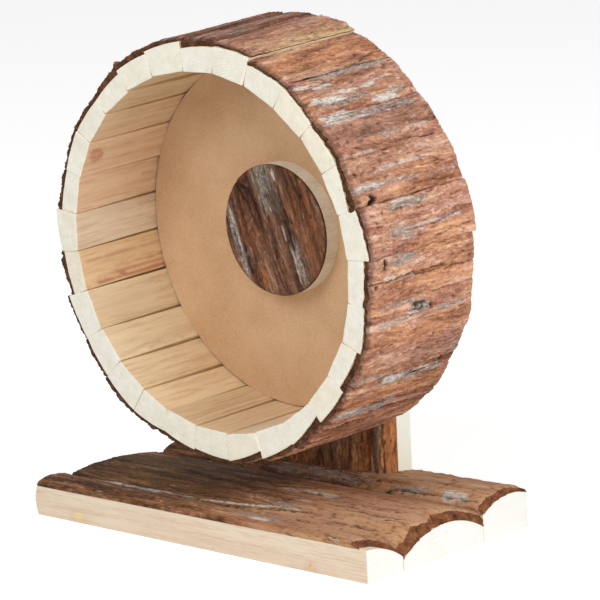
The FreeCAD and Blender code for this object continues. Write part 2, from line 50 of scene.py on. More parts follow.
# Camera, in the frame's millimetres and degrees, with the lens for a 36 mm sensor
CAMERA_PLACE = (2137.2, -2296.3, 896.8)
CAMERA_YAW = 42.655
CAMERA_PITCH = 13.863
CAMERA_ROLL = -2.608
CAMERA_LENS = 360.0
CAMERA_SENSOR = 36.0
# How far the camera sees, in metres
CAMERA_REACH = 100.0

# Meshing, in millimetres
BARK_PITCH = 0.6
BARK_LAYERS = 4
BASE_PITCH = 0.64
BASE_LAYERS = 8
WOOD_PITCH = 1.6
WOOD_ROUNDING = 0.35
BARK_GAP = 0.05
SAME_PLANE = 0.01

# Names of the frame's nodes, bodies and slots
STAND = "stand"
WHEEL = "wheel"
STAVE_COUNT = 28
PLANKS = ("front", "middle", "rear")
BOARDS = ("wide", "narrow")


# Reading the frame

# How far in millimetres a face lies at least from the one behind it: in a piece of wood, and bark on wood
WOOD_FACE = 1.0
BARK_FACE = 0.5
# How much wider than its stave a strip of bark is looked for, as a slope
STRIP_EASE = 0.0005


def node_points(name):
    """A node's vertices in millimetres."""
    mesh = frame["nodes"][name].data
    points = np.empty(len(mesh.vertices) * 3, np.float32)
    mesh.vertices.foreach_get("co", points)
    return points.reshape(-1, 3).astype(float) / MM


def at_end(points, axis, end):
    """The points that lie in the lowest (end 0) or highest (end 1) plane along an axis."""
    place = points[:, axis].max() if end else points[:, axis].min()
    return points[np.abs(points[:, axis] - place) < SAME_PLANE]


def curve_through(along, height):
    """A height for any place along, read from the points of a rounded face."""
    order = np.argsort(along)
    xs, first = np.unique(np.round(along[order], 4), return_index=True)
    ys = height[order][first]
    return lambda place: np.interp(place, xs, ys)


AXLE = np.array(frame["joints"][0]["pos_m"]) / MM
DRUM = node_points("stave_bark")
DRUM_FRONT = DRUM[:, 1].min()
# The radius at which degrees round the drum are turned into millimetres
DRUM_RADIUS = 113.6
DRUM_MM_PER_DEGREE = DRUM_RADIUS * math.pi / 180


# Random relief

# Where a line is read from the noise: away from its whole-number places, where waves are regular
OFF_LINE = 0.4


def corner_turn(i, j, seed):
    """A repeatable random direction for each whole-number place."""
    mixed = (i * 374761393 + j * 668265263 + seed * 1442695041) & 0xFFFFFFFF
    mixed = ((mixed ^ (mixed >> 13)) * 1274126177) & 0xFFFFFFFF
    return ((mixed ^ (mixed >> 16)) & 0xFFFF) * (2 * math.pi / 0x10000)


def fade(x):
    """A soft change from 0 to 1."""
    return x * x * x * (x * (6 * x - 15) + 10)


def noise(u, v, seed):
    """Smooth random waves about one unit long, from about -1 to 1."""
    i = np.floor(u).astype(np.int64)
    j = np.floor(v).astype(np.int64)
    x, y = u - i, v - j
    a, b = fade(x), fade(y)
    total = np.zeros_like(x)
    for di, weight_i in ((0, 1 - a), (1, a)):
        for dj, weight_j in ((0, 1 - b), (1, b)):
            turn = corner_turn(i + di, j + dj, seed)
            total += weight_i * weight_j * (np.cos(turn) * (x - di) + np.sin(turn) * (y - dj))
    return 1.5 * total


def line_noise(u, seed):
    """Noise that changes along u alone, with a zero at every whole number."""
    return noise(u, 0 * u, seed)


def rough(u, v, seed, octaves=3):
    """Waves with finer and weaker waves on them."""
    return sum(noise(u * 2**k, v * 2**k, seed + 17 * k) / 2**k for k in range(octaves))


def smooth(low, high, x):
    """0 at low and below, 1 at high and above, with a soft change between."""
    t = np.clip((x - low) / (high - low), 0, 1)
    return t * t * (3 - 2 * t)


# Bark

# Waves in bark: length along the grain and width across it in millimetres, and what the seed gains
BARK_WAVES = {
    "bend": (31, 13, 0), "kink": (9, 5, 1), "plates": (75, 13, 2), "ridges": (44, 3.4, 3),
    "layers": (24, 6, 4), "fibres": (13, 1.1, 5), "short_fibres": (4.5, 0.9, 6), "grains": (1.7, 1.4, 7),
    "fissures": (60, 7.5, 8), "fissure_places": (38, 13, 9), "tone": (48, 5, 10), "grey": (52, 5, 11),
    "white": (9, 1.6, 12), "warm": (70, 17, 13), "layer_edges": (2.6, 1.3, 14),
    "dark_flecks": (6, 1.3, 15), "pale_flecks": (5, 1.4, 16),
}
FISSURE_WIDTH = 0.04
MEAN_TONE = 0.52
# How far a mark at full strength lifts the bark, in millimetres
MARK_LIFT = {"crack": -1.2, "lump": 1.0, "bare": -0.9}
PIT_DEPTH = 1.8
MARK_SEED = 200
PIT_SEED = 500


def streak(u, v, across, start, end, half_width, seed):
    """A frayed streak along the grain, from 0 outside it to 1."""
    middle, half_length = (start + end) / 2, (end - start) / 2
    wander = 0.5 * half_width * noise(u / 19, across / 7 + 0 * u, seed)
    off_line = np.abs(v - across - wander) / half_width
    off_middle = np.abs(u - middle) / half_length
    fray = 0.65 * noise(u / 13, v / 1.0, seed + 1) + 0.35 * noise(u / 3.2, v / 0.7, seed + 2)
    return smooth(-0.1, 0.7, 1 - off_line - off_middle**4 + fray)


def split(u, v, across, start, end, half_width, seed):
    """A narrow crack that wanders along the grain, from 0 outside it to 1."""
    line = across + 0.9 * noise(u / 9, 0 * u + across, seed) + 0.4 * line_noise(u / 2.5, seed + 1)
    inside = smooth(start - 1, start + 2, u) * (1 - smooth(end - 2, end + 1, u))
    width = half_width * (0.65 + 0.6 * line_noise(u / 4, seed + 2))
    return inside * np.exp(-(((v - line) / np.maximum(width, 0.15)) ** 2))


def pit(u, v, across, along, half_width, half_length, seed):
    """A small hole, from 0 outside it to 1."""
    away = np.hypot((v - across) / half_width, (u - along) / half_length)
    return 1 - smooth(0.6, 1.1, away + 0.25 * noise(u / 1.2, v / 1.2, seed))


def bark(u, v, seed, marks=(), pits=(), relief=1.0, fine=1.0, greyness=0.0, shade=0.0, warmth=1.0):
    """The height in millimetres and the colour masks of bark, at u along and v across its grain."""

    def wave(name, across, shape=noise):
        length, width, more = BARK_WAVES[name]
        return shape(u / length, across / width, seed + more)

    w = v + 2.0 * wave("bend", v) + 0.6 * wave("kink", v)
    ridges = 1 - 2 * np.abs(wave("ridges", w))
    layers = 2.2 * wave("layers", w) + 0.15 * wave("layer_edges", w)
    layers = layers - np.floor(layers)
    fibres = wave("fibres", w) + 0.7 * wave("short_fibres", w)
    grains = wave("grains", v)
    where = smooth(0.0, 0.45, wave("fissure_places", w))
    fissure = where * np.exp(-((wave("fissures", w) / FISSURE_WIDTH) ** 2))
    dark_flecks = smooth(0.38, 0.7, wave("dark_flecks", w))
    pale_flecks = smooth(0.42, 0.75, wave("pale_flecks", w))
    height = 0.2 * ridges + 0.3 * layers + 0.12 * fibres + 0.1 * grains - 0.3 * dark_flecks
    height = fine * height + relief * (0.5 * wave("plates", w, rough) - 0.9 * fissure)

    # shade lifts or lowers the whole tone; from the drum's staves and the base it brings painted light and
    # shade along with the bark's own tone
    tone = MEAN_TONE + shade + 0.4 * wave("tone", w, rough) + 0.14 * fibres + 0.1 * grains
    tone += 0.28 * (layers - 0.5) + 0.36 * pale_flecks
    masks = {
        "tone": tone,
        "crack": 0.8 * fissure + 0.58 * dark_flecks,
        "grey": 0.8 * smooth(0.5, 0.8, greyness + wave("grey", w) + 0.25 * fibres),
        "white": 0.5 * smooth(0.66, 0.9, wave("white", w)),
        "bare": np.zeros_like(u),
        "cool": np.zeros_like(u),
        "warm": warmth * smooth(-0.1, 0.7, wave("warm", v)),
    }
    for n, (kind, across, start, end, half_width, strength, *slant) in enumerate(marks):
        level = v - sum(slant) * (u - (start + end) / 2)
        shape = split if kind == "crack" else streak
        patch = strength * shape(u, level, across, start, end, half_width, seed + MARK_SEED + 3 * n)
        if kind in MARK_LIFT:
            height += MARK_LIFT[kind] * patch
        if kind in masks:
            masks[kind] = np.maximum(masks[kind], patch)
        if kind == "bare":
            masks["grey"] *= 1 - patch
            masks["white"] *= 1 - patch
    for n, (across, along, half_width, half_length) in enumerate(pits):
        hole = pit(u, v, across, along, half_width, half_length, seed + PIT_SEED + n)
        masks["crack"] = np.maximum(masks["crack"], hole)
        height -= PIT_DEPTH * hole
    masks = {name: np.clip(values, 0, 1) for name, values in masks.items()}
    return height, masks


# Meshes


def graded(length, pitch, rounding):
    """Places along an edge, closer together where it is rounded at both ends."""
    count = max(2, int(round((length - 2 * rounding) / pitch)))
    inside = np.linspace(rounding, length - rounding, count + 1)
    lead = rounding * np.array([0.0, 0.12, 0.35, 0.65])
    return np.concatenate([lead, inside, length - lead[::-1]])


def even(length, pitch):
    """Evenly spaced places from 0 to length."""
    return np.linspace(0, length, max(2, int(round(length / pitch))) + 1)


def skin(counts):
    """The outer grid places of a block of points, the quads between them and each quad's side.

    Sides are numbered 0 and 1 for the block's two ends along its first axis, then 2 to 5.
    """
    outer = np.ones(counts, bool)
    outer[1:-1, 1:-1, 1:-1] = False
    ids = np.full(counts, -1)
    ids[outer] = np.arange(outer.sum())
    quads, sides = [], []
    for axis in range(3):
        for end in (0, 1):
            face = np.take(ids, -end, axis)
            corners = [face[:-1, :-1], face[1:, :-1], face[1:, 1:], face[:-1, 1:]]
            if (axis == 1) == (end == 1):
                corners.reverse()
            made = np.stack(corners, -1).reshape(-1, 4)
            quads.append(made)
            sides.append(np.full(len(made), 2 * axis + end))
    return np.nonzero(outer), np.concatenate(quads), np.concatenate(sides)


def block(axes):
    """The places along three axes of a block's skin, its quads and each quad's side."""
    index, quads, sides = skin([len(axis) for axis in axes])
    return [axis[i] for axis, i in zip(axes, index)], quads, sides


def bark_block(width, length):
    """The skin of a strip of bark: places across it, shares of its thickness and places along it."""
    return block([even(width, BARK_PITCH), np.linspace(0, 1, BARK_LAYERS), even(length, BARK_PITCH)])


def sawn_block(lengths):
    """The skin of a block of wood, moved in so that its edges are rounded."""
    axes = [graded(length, WOOD_PITCH, WOOD_ROUNDING) for length in lengths]
    places, quads, sides = block(axes)
    inner = [np.clip(p, WOOD_ROUNDING, length - WOOD_ROUNDING) for p, length in zip(places, lengths)]
    off = [p - i for p, i in zip(places, inner)]
    size = np.sqrt(sum(o * o for o in off))
    shrink = WOOD_ROUNDING / np.maximum(size, 1e-9)
    return [i + o * shrink for i, o in zip(inner, off)], quads, sides


def volume(points, quads):
    """The signed volume inside a closed mesh of quads."""
    a, b, c, d = (points[quads[:, k]] for k in range(4))
    halves = np.einsum("ij,ij->i", a, np.cross(b, c)) + np.einsum("ij,ij->i", a, np.cross(c, d))
    return halves.sum() / 6


def place_object(name, data):
    """A new object in the scene."""
    made = bpy.data.objects.new(name, data)
    bpy.context.scene.collection.objects.link(made)
    return made


def make_piece(name, points, quads, material_of, materials, attributes, body, nodes):
    """A mesh piece from points in millimetres, with its attributes and materials, riding on a body."""
    if volume(points, quads) < 0:
        quads = quads[:, ::-1]
    mesh = bpy.data.meshes.new(name)
    mesh.vertices.add(len(points))
    mesh.vertices.foreach_set("co", (points * MM).astype(np.float32).ravel())
    mesh.loops.add(quads.size)
    mesh.loops.foreach_set("vertex_index", quads.astype(np.int32).ravel())
    mesh.polygons.add(len(quads))
    mesh.polygons.foreach_set("loop_start", np.arange(0, quads.size, 4, dtype=np.int32))
    mesh.polygons.foreach_set("material_index", np.asarray(material_of, np.int32))
    mesh.polygons.foreach_set("use_smooth", np.ones(len(quads), bool))
    for label, values in attributes.items():
        kind, key = ("FLOAT_VECTOR", "vector") if values.ndim == 2 else ("FLOAT", "value")
        layer = mesh.attributes.new(label, kind, "POINT")
        layer.data.foreach_set(key, values.astype(np.float32).ravel())
    mesh.update(calc_edges=True)
    mesh.validate()
    for material in materials:
        mesh.materials.append(material)
    piece = place_object(name, mesh)
    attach(piece, body)
    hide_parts(*nodes)


def wood_attributes(pith, tint, stain):
    """What a wood material reads from its piece: the pith in millimetres, a tint and a stain."""
    return {"pith": np.repeat(pith[None] * MM, len(tint), 0), "tint": tint, "stain": stain}


# Material nodes

PLAIN = (1.0, 1.0, 1.0)
UNTURNED = (0.0, 0.0, 0.0)
BLACK = (0.0, 0.0, 0.0, 1.0)
WHITE = (1.0, 1.0, 1.0, 1.0)


def colour(red, green, blue):
    """A colour for a socket, from the 0 to 255 values of a picture."""
    values = (red / 255, green / 255, blue / 255)
    linear = [c / 12.92 if c <= 0.04045 else ((c + 0.055) / 1.055) ** 2.4 for c in values]
    return (*linear, 1.0)


def stops(*rows):
    """Stops for a ramp, from rows of a place and the 0 to 255 values of a colour."""
    return [(place, colour(*shade)) for place, *shade in rows]


def blended(first, second, share):
    """A colour between two."""
    return tuple(a + (b - a) * share for a, b in zip(first, second))


def scaled(shade, factor):
    """A colour made darker or lighter."""
    return (*(factor * c for c in shade[:3]), 1.0)


def put(tree, node, inputs):
    """Sets a node's inputs, or links them to other sockets."""
    for key, value in inputs.items():
        if isinstance(value, bpy.types.NodeSocket):
            tree.links.new(value, node.inputs[key])
        else:
            node.inputs[key].default_value = value


def add(tree, kind, inputs, **settings):
    """A new node with its settings, and its inputs set or linked."""
    made = tree.nodes.new(kind)
    for key, value in settings.items():
        setattr(made, key, value)
    put(tree, made, inputs)
    return made


def new_material(name):
    """A material with a bare principled shader; returns it, its tree and the shader."""
    material = bpy.data.materials.new(name)
    material.use_nodes = True
    tree = material.node_tree
    return material, tree, tree.nodes["Principled BSDF"]


def dress(tree, shader, inputs, height, depth_mm):
    """Sets or links the shader's inputs, and bumps it by a height."""
    bump = add(tree, "ShaderNodeBump", {"Height": height, "Distance": depth_mm * MM, "Strength": 1.0})
    put(tree, shader, {**inputs, "Normal": bump.outputs["Normal"]})


def attribute(tree, name, output="Fac"):
    """A value that the piece's mesh carries."""
    return add(tree, "ShaderNodeAttribute", {}, attribute_name=name).outputs[output]


def waves(tree, place, scale, detail=3.0, roughness=0.55):
    """A noise value from 0 to 1."""
    inputs = {"Vector": place, "Scale": scale, "Detail": detail, "Roughness": roughness}
    return add(tree, "ShaderNodeTexNoise", inputs).outputs["Fac"]


def calc(tree, operation, a, b=0.0, c=0.0, clamp=False):
    """The result of a math node."""
    inputs = {0: a, 1: b, 2: c}
    return add(tree, "ShaderNodeMath", inputs, operation=operation, use_clamp=clamp).outputs[0]


def vector(tree, operation, inputs, output=0):
    """The result of a vector math node."""
    return add(tree, "ShaderNodeVectorMath", inputs, operation=operation).outputs[output]


def sway(tree, value, pattern, share, rise=0.0, clamp=False):
    """A value that a noise pattern moves up and down."""
    lowered = calc(tree, "ADD", value, rise - share / 2)
    return calc(tree, "MULTIPLY_ADD", pattern, share, lowered, clamp)


def ramp(tree, value, rows):
    """Colours along a value, from (place, colour) stops."""
    made = add(tree, "ShaderNodeValToRGB", {"Fac": value})
    elements = made.color_ramp.elements
    while len(elements) < len(rows):
        elements.new(0.5)
    for element, (place, shade) in zip(elements, rows):
        element.position = place
        element.color = shade
    return made.outputs["Color"]


def mix(tree, share, first, second, blend="MIX"):
    """One colour over another."""
    inputs = {0: share, 6: first, 7: second}
    return add(tree, "ShaderNodeMix", inputs, data_type="RGBA", blend_type=blend).outputs[2]


def millimetres(tree, stretch=PLAIN, turn=UNTURNED):
    """Object coordinates in millimetres, turned and then divided by stretch along each axis."""
    place = add(tree, "ShaderNodeTexCoord", {}).outputs["Object"]
    turned = add(tree, "ShaderNodeMapping", {"Vector": place, "Rotation": turn}).outputs[0]
    scale = tuple(1 / (MM * s) for s in stretch)
    return add(tree, "ShaderNodeMapping", {"Vector": turned, "Scale": scale}).outputs[0]


def along_axis(axis, stretch):
    """The stretch of a grain that runs along one axis."""
    return tuple(stretch if k == axis else 1.0 for k in range(3))


# Materials

# How far bark's grain swirls in millimetres, and how long wood's grain is drawn out
BARK_SWIRL = 5.0
WOOD_STRETCH = 14.0
# The share of the specks in bark's tone, and the darkest and lightest of a tint
SPECK_SHARE = 0.7
DIM = 0.4
BRIGHT = 1.3
CRACK_COLOUR = colour(40, 25, 18)
STAIN_COLOUR = colour(186, 112, 80)
HUES = stops((0.36, 236, 222, 226), (0.46, 255, 245, 242), (0.54, 255, 249, 238), (0.64, 255, 238, 218))
GREY_GROWTH = stops((0.36, 92, 80, 76), (0.46, 138, 126, 118), (0.54, 172, 162, 152), (0.62, 218, 212, 204))
WHITE_GROWTH = stops((0.35, 184, 174, 160), (0.6, 244, 240, 232))
BARE_WOOD = stops((0.25, 176, 138, 92), (0.5, 214, 184, 130), (0.75, 238, 220, 176))
LATE_WOOD = [(0.0, BLACK), (0.45, (0.1, 0.1, 0.1, 1)), (0.86, WHITE), (1.0, BLACK)]
FIBREBOARD_TONES = stops((0.25, 196, 156, 116), (0.5, 214, 176, 136), (0.75, 226, 192, 154))
STEEL_TONES = stops((0.3, 150, 152, 156), (0.7, 196, 198, 200))
# The hub's wood, near white: partly painted light for its rim, which lies in shade inside the drum
HUB_WOOD_TONES = stops((0.25, 221, 214, 202), (0.5, 240, 240, 232), (0.75, 247, 251, 247))
DRUM_TONES = ((92, 58, 46), (146, 100, 80), (184, 134, 111), (208, 164, 140), (236, 206, 184))
BASE_TONES = ((56, 38, 22), (94, 66, 42), (132, 96, 66), (164, 122, 88), (202, 163, 130))
HUB_TONES = ((42, 28, 22), (78, 54, 41), (110, 79, 61), (134, 99, 78), (170, 134, 112))
POST_TONES = ((74, 48, 29), (126, 84, 52), (164, 114, 72), (194, 142, 94), (220, 176, 130))
NO_TINT = [(0.0, WHITE), (1.0, WHITE)]
KNOT_TINTS = stops((0.0, 250, 247, 245), (1.0, 255, 247, 214))
END_TINTS = stops(
    (0.0, 255, 254, 250), (0.06, 255, 250, 238), (0.1, 255, 250, 238), (0.16, 255, 254, 251),
    (0.46, 255, 254, 250), (0.5, 254, 249, 239), (0.54, 255, 254, 250), (1.0, 255, 253, 247),
)
STAVE_TINTS = stops(
    (0.0, 255, 255, 255), (0.15, 240, 240, 238), (0.3, 250, 246, 232),
    (0.5, 255, 240, 218), (0.75, 250, 232, 222), (1.0, 228, 220, 200),
)
# How far the hub's grain leans from upright, in radians
HUB_TILT = math.radians(20.0)


def bark_material(name, axis, tones, warm, cool, turn=UNTURNED, stretch=6.0, grain=0.8, hold=0.65):
    """Bark: brown tones along the grain, with grey and white growth, bare wood and dark cracks by masks."""
    material, tree, shader = new_material(name)
    fine = millimetres(tree)
    swirl = add(tree, "ShaderNodeTexNoise", {"Vector": fine, "Scale": 0.06, "Detail": 2.0}).outputs["Color"]
    straight = millimetres(tree, along_axis(axis, stretch), turn)
    place = vector(tree, "MULTIPLY_ADD", {0: swirl, 1: (BARK_SWIRL,) * 3, 2: straight})
    bands = waves(tree, place, 0.28)
    fibres = waves(tree, place, 1.1, 4.0, 0.7)
    specks = waves(tree, fine, 0.9, 4.0, 0.7)
    value = attribute(tree, "tone")
    for pattern, share in ((bands, grain), (fibres, grain), (specks, SPECK_SHARE)):
        value = sway(tree, value, pattern, share)
    shade = ramp(tree, value, [(k / (len(tones) - 1), colour(*tone)) for k, tone in enumerate(tones)])
    drift = waves(tree, place, 0.11)
    shade = mix(tree, 1.0, shade, ramp(tree, drift, HUES), "MULTIPLY")
    for mask, tint in (("warm", warm), ("cool", cool)):
        share = calc(tree, "MULTIPLY", attribute(tree, mask), hold)
        dim, bright = (scaled(colour(*tint), factor) for factor in (DIM, BRIGHT))
        shade = mix(tree, share, shade, mix(tree, value, dim, bright))
    mottle = calc(tree, "MULTIPLY_ADD", specks, 0.35, calc(tree, "MULTIPLY", fibres, 0.65))
    covers = (
        ("grey", mottle, 0.4, ramp(tree, mottle, GREY_GROWTH)),
        ("white", specks, 0.35, ramp(tree, fibres, WHITE_GROWTH)),
        ("bare", bands, 0.45, ramp(tree, fibres, BARE_WOOD)),
    )
    for mask, pattern, rise, over in covers:
        cover = calc(tree, "MULTIPLY", attribute(tree, mask), calc(tree, "ADD", pattern, rise), clamp=True)
        shade = mix(tree, cover, shade, over)
    shade = mix(tree, attribute(tree, "crack"), shade, CRACK_COLOUR)
    roughness = calc(tree, "MULTIPLY_ADD", specks, 0.25, 0.72)
    inputs = {"Base Color": shade, "Roughness": roughness, "Specular IOR Level": 0.25}
    dress(tree, shader, inputs, calc(tree, "ADD", fibres, specks), 0.35)
    return material


def speckled_material(name, rows, fine, broad, share, roughness, specular, depth_mm, stretch=PLAIN):
    """Fine specks that vary in broad clouds; roughness is even, or a gain by the specks and its least."""
    material, tree, shader = new_material(name)
    place = millimetres(tree, stretch)
    specks = waves(tree, place, *fine)
    shade = ramp(tree, sway(tree, specks, waves(tree, place, *broad), share), rows)
    if isinstance(roughness, tuple):
        roughness = calc(tree, "MULTIPLY_ADD", specks, *roughness)
    inputs = {"Base Color": shade, "Roughness": roughness, "Specular IOR Level": specular}
    dress(tree, shader, inputs, specks, depth_mm)
    return material


def bark_cut_material(name, dark, light):
    """The broken or sawn edge of bark: dark and crumbly."""
    dark, light = colour(*dark), colour(*light)
    rows = [(0.25, dark), (0.55, blended(dark, light, 0.5)), (0.8, light)]
    return speckled_material(name, rows, (0.6, 5.0, 0.75), (0.2,), 0.9, 0.92, 0.15, 0.9)


def wood_material(name, axis, light, dark, tints, ring_mm, contrast, fibre=0.55, streaks=0.0):
    """Sawn softwood: growth rings about the pith that the piece gives, and fibres along the axis."""
    material, tree, shader = new_material(name)
    light, dark = colour(*light), colour(*dark)
    place = add(tree, "ShaderNodeTexCoord", {}).outputs["Object"]
    out = vector(tree, "SUBTRACT", {0: place, 1: attribute(tree, "pith", "Vector")})
    out = vector(tree, "MULTIPLY", {0: out, 1: along_axis(axis, 0.0)})
    distance = vector(tree, "LENGTH", {0: out}, "Value")
    grain = millimetres(tree, along_axis(axis, WOOD_STRETCH))
    bend = waves(tree, grain, 0.07, 2.0)
    fibres = waves(tree, grain, 1.3, 4.0, 0.7)
    blotches = waves(tree, grain, 0.16)
    bands = waves(tree, grain, 0.34, 4.0, 0.6)
    rings = calc(tree, "MULTIPLY_ADD", distance, 1 / (MM * ring_mm), calc(tree, "MULTIPLY", bend, 2.0))
    ring = calc(tree, "FRACT", rings)
    places = waves(tree, millimetres(tree), 0.03, 1.0)
    shown = calc(tree, "MULTIPLY_ADD", places, 5.0, -2.1, clamp=True)
    late = ramp(tree, ring, LATE_WOOD)
    value = calc(tree, "MULTIPLY", late, calc(tree, "MULTIPLY", shown, contrast))
    value = sway(tree, value, fibres, fibre, 0.075)
    value = sway(tree, value, bands, streaks, clamp=True)
    shade = mix(tree, value, light, dark)
    shade = mix(tree, 1.0, shade, ramp(tree, attribute(tree, "tint"), tints), "MULTIPLY")
    shade = mix(tree, calc(tree, "MULTIPLY_ADD", blotches, 0.9, -0.3, clamp=True), shade, dark)
    shade = mix(tree, attribute(tree, "stain"), shade, STAIN_COLOUR)
    roughness = calc(tree, "MULTIPLY_ADD", fibres, 0.2, 0.6)
    inputs = {"Base Color": shade, "Roughness": roughness, "Specular IOR Level": 0.3}
    dress(tree, shader, inputs, calc(tree, "MULTIPLY_ADD", ring, 0.3, fibres), 0.12)
    return material


def steel_material():
    """Zinc-plated steel: grey metal with fine turning marks and dull patches."""
    material, tree, shader = new_material("zinc_steel")
    marks = waves(tree, millimetres(tree, (1.0, 0.15, 1.0)), 1.6)
    shade = ramp(tree, waves(tree, millimetres(tree), 0.3), STEEL_TONES)
    roughness = calc(tree, "MULTIPLY_ADD", marks, 0.3, 0.22)
    dress(tree, shader, {"Base Color": shade, "Roughness": roughness, "Metallic": 1.0}, marks, 0.02)
    return material


# Bark: name, axis of the grain, tones, warm tint, cool tint
DRUM_BARK = bark_material("drum_bark", 1, DRUM_TONES, (206, 140, 94), (176, 132, 112), stretch=4.2)
BASE_BARK = bark_material("base_bark", 0, BASE_TONES, (146, 90, 52), (97, 75, 34))
POST_BARK = bark_material("post_bark", 2, POST_TONES, (226, 150, 96), (128, 102, 78), hold=0.9)
HUB_BARK = bark_material(
    "hub_bark", 2, HUB_TONES, (160, 92, 50), (116, 112, 96), (0.0, HUB_TILT, 0.0), 3.6, 0.46)
# Broken edges of bark: name, dark and light colour
DRUM_CUT = bark_cut_material("drum_bark_edge", (50, 33, 22), (136, 90, 58))
BASE_CUT = bark_cut_material("base_bark_edge", (74, 44, 28), (172, 112, 74))
POST_CUT = bark_cut_material("post_bark_edge", (140, 78, 40), (206, 138, 84))
HUB_CUT = bark_cut_material("hub_bark_edge", (44, 28, 20), (110, 74, 52))
# Wood: name, axis of the grain, light and dark colour, tints, ring width in millimetres, strength of the
# rings, of the fibres and of broad streaks
STAVE_END = wood_material(
    "stave_end", 1, (251, 249, 240), (222, 211, 186), END_TINTS, 1.7, 0.35, 0.9, 0.8)
STAVE_SIDE = wood_material(
    "stave_side", 1, (248, 232, 206), (204, 164, 120), STAVE_TINTS, 2.9, 0.3, 1.2, 1.7)
PLANK_WOOD = wood_material(
    "plank_wood", 0, (248, 233, 210), (216, 180, 146), KNOT_TINTS, 2.1, 0.3, 1.5, 1.6)
PLANK_END = wood_material("plank_end", 0, (250, 249, 246), (244, 238, 224), NO_TINT, 2.6, 0.5)
# The post boards' wood is painted near white: painted light for the bright light on the post's side; their
# back keeps the wood's own colour
PAINTED_LIGHT_BOARD_WOOD = wood_material("board_wood", 2, (255, 255, 240), (255, 253, 232), NO_TINT, 2.6, 0.4)
BOARD_BACK = wood_material(
    "board_back", 2, (247, 232, 207), (212, 174, 134), NO_TINT, 3.4, 0.5, 1.3, 1.7)
# The sawn edge of the hub's wood, pale with fine lines and painted near white as painted light for the hub's
# rim, which lies in shade inside the drum; and even tan fibreboard with faint clouds
PAINTED_LIGHT_HUB_WOOD = speckled_material(
    "hub_wood", HUB_WOOD_TONES, (1.0, 4.0, 0.7), (0.12, 2.0), 0.6, (0.2, 0.6), 0.5, 0.1, (1.0, 6.0, 1.0))
FIBREBOARD = speckled_material(
    "fibreboard", FIBREBOARD_TONES, (1.4, 4.0, 0.75), (0.035,), 0.6, (0.2, 0.55), 0.35, 0.05)
STEEL = steel_material()


# Drum

DRUM_SEED = 28
# Seeds of one stave's wood and bark, per number of the stave
STAVE_SEEDS = 40
STRIP_SEEDS = 1000
# Ranges of the random steps and setbacks of the staves, in millimetres, and of their joints
STAVE_STEP = (-0.3, 0.9)
END_SETBACK = (0.0, 0.8)
JOINT_OPENING = 0.8
JOINT_SHARE = (0.3, 1.0)
PITH_ASIDE = (8, 30)
PITH_BELOW = (16, 45)
STRIP_GREYNESS = (-0.15, 0.0)
# How far strips of bark lap over their edges and wander there, and how thin they get, in millimetres
SEAM_LAP = 0.15
SEAM_WANDER = 0.7
STRIP_THINNEST = 0.45
